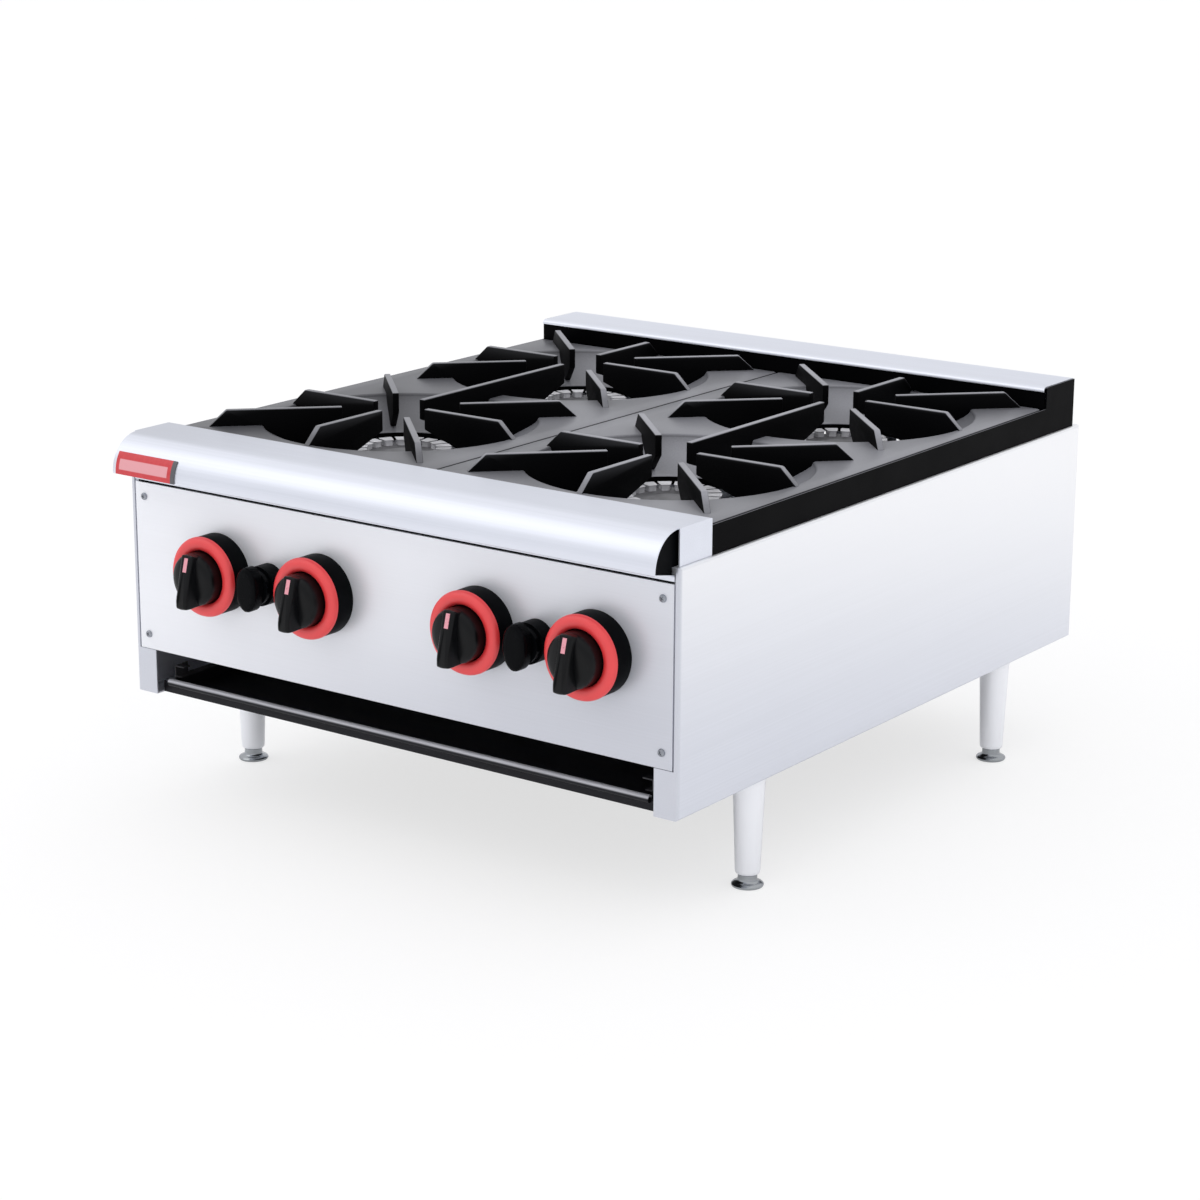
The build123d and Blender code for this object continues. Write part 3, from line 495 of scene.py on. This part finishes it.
def softened(points, radius, steps=4):
    """A closed outline with its corners rounded off."""
    line = []
    count = len(points)
    for k, corner in enumerate(points):
        here = Vector(corner)
        before = Vector(points[k - 1]) - here
        after = Vector(points[(k + 1) % count]) - here
        start = here + before.normalized() * min(radius, before.length * 0.45)
        end = here + after.normalized() * min(radius, after.length * 0.45)
        for step in range(steps + 1):
            share = step / steps
            to_corner, from_corner = start.lerp(here, share), here.lerp(end, share)
            line.append(tuple(to_corner.lerp(from_corner, share)))
    return line


def inset(points, distance):
    """A closed outline moved inwards; its points run clockwise."""
    moved = []
    count = len(points)
    for k, point in enumerate(points):
        here = Vector(point)
        run_in = (here - Vector(points[k - 1])).normalized()
        run_out = (Vector(points[(k + 1) % count]) - here).normalized()
        sideways = Vector((run_in.y + run_out.y, -run_in.x - run_out.x))
        scale = distance / (1 + run_in.dot(run_out))
        moved.append(tuple(here + sideways * scale))
    return moved


def join(edit, first, second):
    """Faces between two rings of points, either of which may be a single point."""
    count = max(len(first), len(second))
    for k in range(count):
        after = (k + 1) % count
        corners = [first[k % len(first)], first[after % len(first)]]
        corners += [second[after % len(second)], second[k % len(second)]]
        edit.faces.new(list(dict.fromkeys(corners)))


def ring_of(edit, place, outline, height):
    """The points of a flat outline at a height."""
    return [edit.verts.new(place @ Vector((x, y, height))) for x, y in outline]


def loft(edit, place, sections):
    """A skin over sections, each a flat outline and its height; its ends are capped."""
    rings = [ring_of(edit, place, outline, height) for outline, height in sections]
    for first, second in zip(rings, rings[1:]):
        join(edit, first, second)
    edit.faces.new(rings[0])
    edit.faces.new(rings[-1])


def circle(radius, segments):
    """Points of a circle."""
    angles = [math.tau * k / segments for k in range(segments)]
    return [(radius * math.cos(angle), radius * math.sin(angle)) for angle in angles]


def loop_of(edit, ring):
    """The edges that close a ring of points."""
    return [edit.edges.new(pair) for pair in zip(ring, ring[1:] + ring[:1])]


def lathe(edit, place, profile, closed=False, segments=72):
    """A profile of (radius, height) turned about the place's own Z axis."""
    rings = []
    for radius, height in profile:
        outline = circle(radius, segments) if radius else [(0, 0)]
        rings.append(ring_of(edit, place, outline, height))
    for first, second in zip(rings, rings[1:]):
        join(edit, first, second)
    if closed:
        join(edit, rings[-1], rings[0])


def scaled(points):
    """Points given in millimetres, in metres."""
    return [tuple(value * mm for value in point) for point in points]


def piece(name, edit, finish, body, slot, *nodes, crease=35):
    """Make an object of a mesh, which rides on a body and stands for CAD nodes."""
    bmesh.ops.recalc_face_normals(edit, faces=edit.faces)
    mesh = bpy.data.meshes.new(name)
    edit.to_mesh(mesh)
    edit.free()
    mesh.polygons.foreach_set("use_smooth", [True] * len(mesh.polygons))
    mesh.set_sharp_from_angle(angle=math.radians(crease))
    mesh.materials.append(finishes[finish])
    thing = bpy.data.objects.new(name, mesh)
    scene.collection.objects.link(thing)
    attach(thing, body)
    if nodes:
        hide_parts(*nodes)
    return thing


def facing_front(x, z):
    """A place on the front panel whose Z axis points out to the front."""
    axes = Matrix(((1, 0, 0), (0, 0, -1), (0, 1, 0))).to_4x4()
    return Matrix.Translation((x, panel_face, z)) @ axes


# Controls


# how far a knob's hub, and the flat of its ridge, lie behind the front of the grip
hub_depth, ridge_depth = 13, 0.4


def bar_outline(half_width, radius, steps=8):
    """Outline of a grip: straight sides, and ends that follow a circle."""
    outline = []
    for way in (1, -1):
        for step in range(steps + 1):
            x = way * half_width * (2 * step / steps - 1)
            outline.append((x, way * math.sqrt(radius ** 2 - x ** 2)))
    return outline


def ridge_share(z):
    """How far a grip stands out from its hub at a height: full low down, little at its top."""
    least, full_below, fall = 0.14, -15, 40
    return min(1, max(least, 1 - (1 - least) * (z - full_below) / fall))


def knob_grip(edit, place, reach):
    """Upright bar of a knob with soft edges, whose ridge falls back towards its top end."""
    sections = (
        (8.6, 23.6, reach - 22),
        (7.4, 24.0, reach - 14),
        (6.6, 24.4, reach - 8),
        (6.2, 24.2, reach - 3.6),
        (5.8, 23.7, reach - 1.8),
        (5.0, 22.7, reach - 0.8),
        (3.8, 21.4, reach - ridge_depth),
    )
    lofted = []
    for half_width, radius, height in sections:
        outline = softened(bar_outline(half_width, radius), 1.6, steps=2)
        lofted.append((scaled(cut_across(outline)), height * mm))
    loft(edit, Matrix(), lofted)
    hub_front = (reach - hub_depth) * mm
    for vert in edit.verts:
        if vert.co.z > hub_front:
            share = ridge_share(vert.co.y / mm)
            vert.co.z = hub_front + (vert.co.z - hub_front) * share
    bmesh.ops.transform(edit, matrix=place, verts=edit.verts)


def cut_across(outline, parts=10, long_side=20):
    """An upright outline with points added along its long sides."""
    cut = []
    for start, end in zip(outline, outline[1:] + outline[:1]):
        steps = parts if abs(end[1] - start[1]) > long_side else 1
        for step in range(steps):
            cut.append(tuple(Vector(start).lerp(Vector(end), step / steps)))
    return cut


def knob_index(edit, place, reach):
    """Painted line along the upper half of a grip's ridge."""
    hub_front = reach - hub_depth
    half_width, low, high, steps = 2.1, 9.5, 21.8, 8
    under, over = -0.6, 0.12
    row = [(-half_width, under), (-half_width, over), (half_width, over), (half_width, under)]
    rows = []
    for step in range(steps + 1):
        z = low + (high - low) * step / steps
        ridge = hub_front + (hub_depth - ridge_depth) * ridge_share(z)
        points = [Vector((x * mm, z * mm, (ridge + lift) * mm)) for x, lift in row]
        rows.append([edit.verts.new(place @ point) for point in points])
    for first, second in zip(rows, rows[1:]):
        join(edit, first, second)
    edit.faces.new(rows[0])
    edit.faces.new(rows[-1])


def build_knob(number, centre):
    """A knob: a domed hub, a grip and a pale index line on the grip's upper end."""
    name = knob_names[number - 1]
    place = facing_front(centre.x, centre.z)
    reach = (panel_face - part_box(name)[0].y) / mm
    hub = [(0, 2), (8, 2), (8, 12), (22.6, 12), (23.7, 12.6), (24, 14), (24, reach - 21)]
    dome = [(23.8, reach - 18.6), (22.9, reach - 16.6), (21, reach - 15), (17, reach - 13.9)]
    middle = [(9, reach - hub_depth - 0.2), (0, reach - hub_depth)]
    edit = bmesh.new()
    knob_grip(edit, place, reach)
    lathe(edit, place, scaled(hub + dome + middle))
    piece(name + "_cap", edit, "knob_black", name, "knob_black", name)
    edit = bmesh.new()
    knob_index(edit, place, reach)
    piece(name + "_index", edit, "index_paint", name, "knob_black")


def build_bezels():
    """Bezels and red rings round the knobs."""
    outside = [(36.2, 0), (36.2, 18.2), (35.9, 19.3), (35.2, 20), (24.6, 20), (24.6, 17)]
    inside = [(33.2, 17), (33.2, 2), (12, 2), (12, 0)]
    swell = [(24.6, 20), (24.6, 22.6), (25.2, 24.1), (26.4, 25.2), (28.2, 25.9), (30.4, 26)]
    fall = [(32.6, 25.6), (34.6, 24.6), (35.9, 23.1), (36.5, 21.4), (36.6, 20)]
    bezels, rings = bmesh.new(), bmesh.new()
    for centre in knob_places:
        place = facing_front(centre.x, centre.z)
        lathe(bezels, place, scaled(outside + inside), closed=True, segments=96)
        lathe(rings, place, scaled(swell + fall), closed=True, segments=96)
    piece("bezel_cups", bezels, "bezel_black", "casing", "bezel_black", "knob_bezels")
    piece("red_rings", rings, "ring_red", "casing", "ring_red", "bezel_rings", crease=60)


def oval(half_width, half_height, steps=48):
    """An oval outline, clockwise."""
    angles = [-math.tau * k / steps for k in range(steps)]
    return [(half_width * math.cos(angle), half_height * math.sin(angle)) for angle in angles]


def build_button(side):
    """An igniter's push button: an oval cap with a soft rim on a round skirt."""
    name = f"{side}_igniter_button"
    low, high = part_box(name)
    place = facing_front((low.x + high.x) / 2, (low.z + high.z) / 2)
    reach = (panel_face - low.y) / mm
    outline = oval(12, 20.3)
    steps = ((0.6, 12.2), (0, 11.6), (0, 3.4), (0.5, 1.6), (1.6, 0.5), (3.2, 0.1), (5.4, 0))
    sections = []
    for step, depth in steps:
        sections.append((scaled(inset(outline, step)), (reach - depth) * mm))
    edit = bmesh.new()
    loft(edit, place, sections)
    skirt = [(0, 12.4), (16, 12.4), (16, 24.6), (15.6, 25), (5, 25), (5, 60), (0, 60)]
    lathe(edit, place, scaled([(radius, reach - depth) for radius, depth in skirt]))
    piece(name + "_cap", edit, "button_black", name, "igniter_black", name)


# Grates


# the underside of every fin, as (distance from the burner's middle, height)
fin_foot = [(128, deck_top / mm - 6), (88, deck_top / mm - 23.9)]


def fin_skin(edit, place, outline, half_thickness=3.0, edge=0.9):
    """An upright cast plate of a given outline in (along, height), with soft edges."""
    upright = place @ Matrix(((1, 0, 0), (0, 0, -1), (0, 1, 0))).to_4x4()
    outline = softened(outline, 1.2, steps=2)
    levels = ((edge, -1), (edge * 0.3, -0.9), (0, -0.7), (0, 0.7), (edge * 0.3, 0.9), (edge, 1))
    sections = []
    for step, share in levels:
        sections.append((scaled(inset(outline, step)), share * half_thickness * mm))
    loft(edit, upright, sections)


def fin_end(inner):
    """The end of a fin that faces the burner, from its foot up."""
    top, depth = fin_top / mm, 19.5
    return [(inner, top - depth), (inner, top)]


def fin_outline(inner, reach):
    """Outline of a fin from the burner outwards, its foot sunk in bowl and deck."""
    top, deck, slope = fin_top / mm, deck_top / mm, 16.5
    tail = [(reach, top), (reach + slope, deck), (reach + slope, deck - 3)]
    return fin_end(inner) + tail + fin_foot


def long_bar_outline(inner, gap):
    """Outline of the bar that runs from one rosette to the other."""
    near = fin_foot + fin_end(inner)
    far = [(gap - along, height) for along, height in reversed(near)]
    return near + far


def grate_rim(edit):
    """The rim of a grate; gives back its inner ring of points above and the one below."""
    x0, y0 = grate_low.x / mm, grate_low.y / mm
    x1, y1 = grate_high.x / mm, grate_high.y / mm
    frame_line = softened([(x0, y0), (x0, y1), (x1, y1), (x1, y0)], 5)
    rim = ((1.3, 0), (0.4, 0.4), (0, 1.3), (0, 11.4), (0.8, 12.2), (5.2, 12.2), (6, 11.4), (6, 5))
    rings = []
    for step, drop in rim:
        height = deck_top - drop * mm
        rings.append(ring_of(edit, Matrix(), scaled(inset(frame_line, step)), height))
    for first, second in zip(rings, rings[1:]):
        join(edit, first, second)
    return rings[0], rings[-1]


def grate_deck(edit):
    """The deck of a grate from above and below, with its rim and two dished bowls."""
    bowl = [(130.6, 0), (129.3, 0.3), (128.4, 1), (128, 2.2), (126.8, 4), (122, 7.4), (108, 14.6)]
    bowl += [(92, 22.2), (82, 26.4), (77, 28), (75, 28), (74, 26.6), (73.4, 25.9), (70.6, 25.9)]
    bowl += [(70, 26.6), (70, 33.2), (70.8, 33.9), (76, 33.4), (131, 10), (132, 8), (132, 5)]
    segments = 96
    places = [Matrix.Translation((rosette_x, y, 0)) for y in rosette_ys]
    for ring, (radius, drop) in zip(grate_rim(edit), (bowl[0], bowl[-1])):
        loops = [edit.edges.get(pair) for pair in zip(ring, ring[1:] + ring[:1])]
        for place in places:
            hole = ring_of(edit, place, circle(radius * mm, segments), deck_top - drop * mm)
            loops += loop_of(edit, hole)
        bmesh.ops.triangle_fill(edit, use_beauty=True, edges=loops)
    profile = [(radius * mm, deck_top - drop * mm) for radius, drop in bowl]
    for place in places:
        lathe(edit, place, profile, segments=segments)


def grate_fins(edit):
    """Eight fins to a rosette; one of them is the long bar to the other rosette."""
    inner, diagonal_inner = 30, 55
    reach, middle_reach, corner_reach = 117, 149, 162
    gap = (rosette_ys[1] - rosette_ys[0]) / mm
    for y, away in zip(rosette_ys, (-1, 1)):
        for angle in range(0, 360, 45):
            turn = math.radians(angle)
            place = Matrix.Translation((rosette_x, y, 0)) @ Matrix.Rotation(turn, 4, "Z")
            toward_other = math.sin(turn) * away < -0.01
            if angle % 90:
                end = middle_reach if toward_other else corner_reach
                fin_skin(edit, place, fin_outline(diagonal_inner, end))
            elif not toward_other:
                fin_skin(edit, place, fin_outline(inner, reach))
            elif away < 0:
                fin_skin(edit, place, long_bar_outline(inner, gap))


def build_grate(side):
    """A grate casting: deck and rim, two dished bowls and the fins."""
    name = f"{side}_grate"
    edit = bmesh.new()
    grate_deck(edit)
    grate_fins(edit)
    bmesh.ops.remove_doubles(edit, verts=edit.verts, dist=0.01 * mm)
    if side == "left":
        bmesh.ops.transform(edit, matrix=Matrix.Diagonal((-1, 1, 1, 1)), verts=edit.verts)
    piece(name + "_casting", edit, "iron", name, "grate_iron", name)


# Burners


def crown_tooth(teeth):
    """Outline of one of a crown's teeth, with straight gaps between it and the next."""
    inner, outer, half_gap = 33.8, 45.9, 2.5
    tooth = []
    for radius, way in ((inner, -1), (outer, -1), (outer, 1), (inner, 1)):
        angle = -way * (math.pi / teeth - half_gap / radius)
        tooth.append((radius * math.cos(angle), radius * math.sin(angle)))
    return softened(tooth[::-1], 0.9, steps=2)


def build_crowns():
    """Burner crowns: a toothed rim round a low dished middle."""
    joint, top = cap_low.z / mm + 3, cap_high.z / mm
    floor = joint + 3.5
    wall = [(37, joint - 3), (41.8, joint - 3), (41.8, joint), (45.4, joint), (46, joint + 0.6)]
    dish = [(46, floor), (33.4, floor), (32.6, floor - 0.5), (30, floor - 1.4), (20, floor - 0.6)]
    middle = [(15, joint + 5), (13.6, joint + 5.6), (9, joint + 6.1), (0, joint + 6.2)]
    teeth = 18
    tooth = crown_tooth(teeth)
    levels = ((0, floor - 0.5), (0, top - 1.4), (0.35, top - 0.4), (1.1, top))
    sections = [(scaled(inset(tooth, step)), z * mm) for step, z in levels]
    bodies, tooth_rings = bmesh.new(), bmesh.new()
    for x in (-rosette_x, rosette_x):
        for y in rosette_ys:
            place = Matrix.Translation((x, y, 0))
            lathe(bodies, place, scaled(wall + dish + middle), segments=108)
            for k in range(teeth):
                turn = Matrix.Rotation(math.tau * (k + 0.5) / teeth, 4, "Z")
                loft(tooth_rings, place @ turn, sections)
    piece("burner_crowns", bodies, "crown_dark", "casing", "burner_cap_metal", "burner_caps")
    piece("crown_teeth", tooth_rings, "crown_grey", "casing", "burner_cap_metal")


# Screws, legs, gas inlet and seam


def cross_outline(arm, reach):
    """Outline of a cross, clockwise; its arms have a half width and a reach."""
    cross = []
    for x, y in ((1, 1), (1, -1), (-1, -1), (-1, 1)):
        corner = [(x * arm, y * reach), (x * arm, y * arm), (x * reach, y * arm)]
        cross += corner if x * y > 0 else corner[::-1]
    return scaled(cross)


def screw_head(edit, place):
    """A domed head on its shank, with a cross recess that narrows as it goes in."""
    shank = [(0, -8), (2, -8), (2, 0)]
    dome = [(3.4, 0), (3.4, 0.7), (3.15, 1.3), (2.7, 1.7), (2.2, 1.9)]
    rim_radius, rim_height = dome[-1]
    segments, mouth_height, floor, narrowing = 32, 2.0, 1.0, 0.8
    rim = oval(rim_radius * mm, rim_radius * mm, segments)
    cross = cross_outline(0.45, 1.9)
    lathe(edit, place, scaled(shank + dome), segments=segments)
    outer = ring_of(edit, place, rim, rim_height * mm)
    mouth = ring_of(edit, place, cross, mouth_height * mm)
    bottom = ring_of(edit, place, [(x * narrowing, y * narrowing) for x, y in cross], floor * mm)
    loops = loop_of(edit, outer) + loop_of(edit, mouth)
    bmesh.ops.triangle_fill(edit, use_beauty=True, edges=loops)
    join(edit, mouth, bottom)
    edit.faces.new(bottom)


def build_screws():
    """Pan-head screws with a cross recess, at the corners of the front and back panels."""
    low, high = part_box("panel_screws")
    head_radius, head_height = 3.4 * mm, 2 * mm
    rear_x = high.x - head_radius
    front_x = rear_x - 5.5 * mm
    rear_face = high.y - head_height
    edit = bmesh.new()
    for screw_x, face, turned in ((front_x, panel_face, 0), (rear_x, rear_face, math.pi)):
        for x in (-screw_x, screw_x):
            for z in (low.z + head_radius, high.z - head_radius):
                place = facing_front(x, z)
                place.translation.y = face
                place = place @ Matrix.Rotation(turned, 4, "Y")
                stopped_at = 0.6 * x / screw_x + 40 * z
                screw_head(edit, place @ Matrix.Rotation(stopped_at, 4, "Z"))
    bmesh.ops.remove_doubles(edit, verts=edit.verts, dist=0.01 * mm)
    piece("cross_screws", edit, "screw_steel", "casing", "screw_steel", "panel_screws")


def build_leg(corner):
    """A tapered leg with a rolled collar, and the turned foot below it."""
    low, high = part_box(corner + "_leg")
    x, y = (low.x + high.x) / 2, (low.y + high.y) / 2
    length = (high.z - low.z) / mm
    collar = [(5.1, 0), (14.2, 0), (14.7, 0.4), (14.8, 1.2), (14.8, 2.6), (14.5, 3.4)]
    taper = [(14.15, 4.2), (14.1, 6), (11.1, length - 3.2), (10.8, length - 1.2)]
    foot_end = [(10.2, length - 0.3), (9.2, length), (6.05, length), (6.05, 50)]
    profile = scaled([(r, -drop) for r, drop in collar + taper + foot_end])
    edit = bmesh.new()
    lathe(edit, Matrix.Translation((x, y, high.z)), profile, segments=64)
    name = corner + "_leg"
    piece(name + "_sleeve", edit, "leg_steel", "casing", "leg_steel", name)

    name = corner + "_foot"
    low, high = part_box(name)
    height = (high.z - low.z) / mm
    flange = [(0, 0), (12.6, 0), (13.7, 0.4), (14.25, 1.3), (14.2, 2.3), (13.4, 3.2)]
    neck = [(11.2, 4.2), (9.4, 5.1), (8.6, 6.2), (8.5, 7.6), (8.5, 11.2), (8.0, 11.7)]
    stem = [(6, 11.7), (6, height - 0.6), (5.4, height), (0, height)]
    edit = bmesh.new()
    place = Matrix.Translation((x, y, low.z))
    lathe(edit, place, scaled(flange + neck + stem), segments=64)
    piece(name + "_turned", edit, "foot_chrome", name, "foot_chrome", name)


def thread_rings(edit, place, radius, length, columns):
    """Rings of points down an outside thread whose mouth is chamfered."""
    pitch, depth, rows_per_pitch = 1.8, 0.55, 6
    chamfer, chamfer_length = 0.5, 1.2
    rings = []
    for row in range(int(length / pitch * rows_per_pitch) + 1):
        height = -row * pitch / rows_per_pitch
        cut = chamfer * (1 - min(1, -height / chamfer_length))
        outline = []
        for column in range(columns):
            angle = math.tau * column / columns
            phase = (height / pitch + column / columns) % 1
            r = radius - depth * (1 - abs(2 * phase - 1)) - cut
            outline.append((r * math.cos(angle), r * math.sin(angle)))
        rings.append(ring_of(edit, place, scaled(outline), height * mm))
    return rings


def build_inlet():
    """Gas inlet: a threaded nipple with a chamfered hexagon and an open bore."""
    name = "gas_inlet_nipple"
    low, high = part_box(name)
    length = (high.y - low.y) / mm
    centre = (low + high) / 2
    rear_end = Matrix.Translation((centre.x, high.y, centre.z))
    place = rear_end @ Matrix.Rotation(-math.pi / 2, 4, "X")
    radius, bore, thread, columns = 13.3, 10.5, 16, 72
    edit = bmesh.new()
    rings = thread_rings(edit, place, radius, thread, columns)
    for r, height in [(radius, -length), (bore, -length), (bore, -0.6), (bore + 0.5, 0)]:
        rings.append(ring_of(edit, place, circle(r * mm, columns), height * mm))
    for first, second in zip(rings, rings[1:] + rings[:1]):
        join(edit, first, second)
    corner_radius = (high.x - low.x) / mm / 2
    hexagon = softened(oval(corner_radius, corner_radius, 6), 1.2, steps=3)
    base = (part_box("right_side_panel")[1].y - high.y) / mm + 0.2
    steps = ((1.1, -thread), (0.3, -thread - 0.5), (0, -thread - 1.1), (0, base + 0.4), (0.4, base))
    loft(edit, place, [(scaled(inset(hexagon, step)), height * mm) for step, height in steps])
    piece("inlet_nipple", edit, "pipe_black", "casing", "pipe_steel", name)


def build_seam_strip():
    """Black strip that closes the seam between front panel and ledge from behind; its black is
    painted shade for the seam.
    """
    half_length, height, thickness = 297, 6, 1
    front = panel_face / mm + 2.2
    rear = front + thickness
    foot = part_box("front_panel")[1].z / mm + 0.1
    left, right = -half_length, half_length
    outline = scaled([(left, front), (left, rear), (right, rear), (right, front)])
    edit = bmesh.new()
    loft(edit, Matrix(), [(outline, foot * mm), (outline, (foot + height) * mm)])
    piece("seam_shade_strip", edit, "plug_black", "casing", "black_plug")


for number, centre in enumerate(knob_places, 1):
    build_knob(number, centre)
build_inlet()
build_seam_strip()
build_bezels()
for side in ("left", "right"):
    build_button(side)
    build_grate(side)
build_crowns()
build_screws()
for corner in leg_corners:
    build_leg(corner)


# Camera, at the photograph's viewing angle


def set_camera():
    """The photograph's camera, as solved from points on the casing, slot, ledge and feet."""
    lens = 90.12
    sensor = 36.0
    place = (1.6152, -2.2383, 0.9315)
    heading, tilt, roll = 36.058, 74.46, 0.278
    data = bpy.data.cameras.new("camera")
    data.sensor_width = sensor
    data.lens = lens
    camera = bpy.data.objects.new("camera", data)
    scene.collection.objects.link(camera)
    level = Euler((math.radians(tilt), 0, math.radians(heading))).to_matrix()
    turned = level @ Matrix.Rotation(math.radians(roll), 3, "Z")
    camera.matrix_world = Matrix.Translation(place) @ turned.to_4x4()
    scene.camera = camera


# Studio


def set_sky():
    """White sky, a little dimmer low down, where level metal mirrors it."""
    world = bpy.data.worlds.new("studio")
    world.use_nodes = True
    scene.world = world
    sky = Nodes(world.node_tree)
    background = world.node_tree.nodes["Background"]
    view = sky.node("ShaderNodeTexCoord", output="Generated")
    height = sky.axis("Z", view)
    dim, white, fill = (0.74, 0.75, 0.78), (0.96, 0.96, 0.97), (0.97, 0.97, 0.99)
    mirrored = sky.mix(sky.spread(height, 0.1, 0.75), dim, white)
    glossy = sky.node("ShaderNodeLightPath", output="Is Glossy Ray")
    camera = sky.node("ShaderNodeLightPath", output="Is Camera Ray")
    lit = sky.mix(glossy, fill, mirrored)
    sky.fill(background.inputs["Color"], sky.mix(camera, lit, (1, 1, 1)))
    background.inputs["Strength"].default_value = 1.0


def set_floor():
    """A wide white floor that keeps a light shadow."""
    mesh = bpy.data.meshes.new("floor")
    edit = bmesh.new()
    bmesh.ops.create_circle(edit, cap_ends=True, segments=96, radius=40)
    edit.to_mesh(mesh)
    edit.free()
    floor = bpy.data.objects.new("floor", mesh)
    scene.collection.objects.link(floor)
    paint = Finish("floor_white", (0.95, 0.95, 0.95), 0.9, Specular_IOR_Level=0.05)
    cloud = paint.noise(0.8, 2.0)
    paint.colour(paint.mix(cloud, (0.945, 0.945, 0.945), (0.955, 0.955, 0.955)))
    white = paint.node("ShaderNodeEmission", inputs={"Color": (1, 1, 1), "Strength": 1.05})
    shader = Field(paint, paint.shader.outputs[0])
    camera = paint.node("ShaderNodeLightPath", output="Is Camera Ray")
    mirrored_white, seen_white = 0.25, 0.4
    share = paint.shown() * mirrored_white + camera * seen_white
    mixed = paint.node("ShaderNodeMixShader", inputs={0: share, 1: shader, 2: white})
    paint.fill(paint.tree.nodes["Material Output"].inputs["Surface"], mixed)
    floor.data.materials.append(paint.material)


def set_lamp(name, place, aim, size, power):
    """A large soft lamp that looks at a point."""
    data = bpy.data.lights.new(name, "AREA")
    data.shape = "DISK"
    data.size = size
    data.energy = power
    lamp = bpy.data.objects.new(name, data)
    scene.collection.objects.link(lamp)
    turned = (Vector(place) - Vector(aim)).to_track_quat("Z", "Y").to_matrix().to_4x4()
    lamp.matrix_world = Matrix.Translation(place) @ turned


set_camera()
set_sky()
set_floor()
set_lamp("key_lamp", (-1.6, -1.5, 2.4), (0, 0, 0.15), 2.2, 7)
scene.view_settings.view_transform = "Standard"
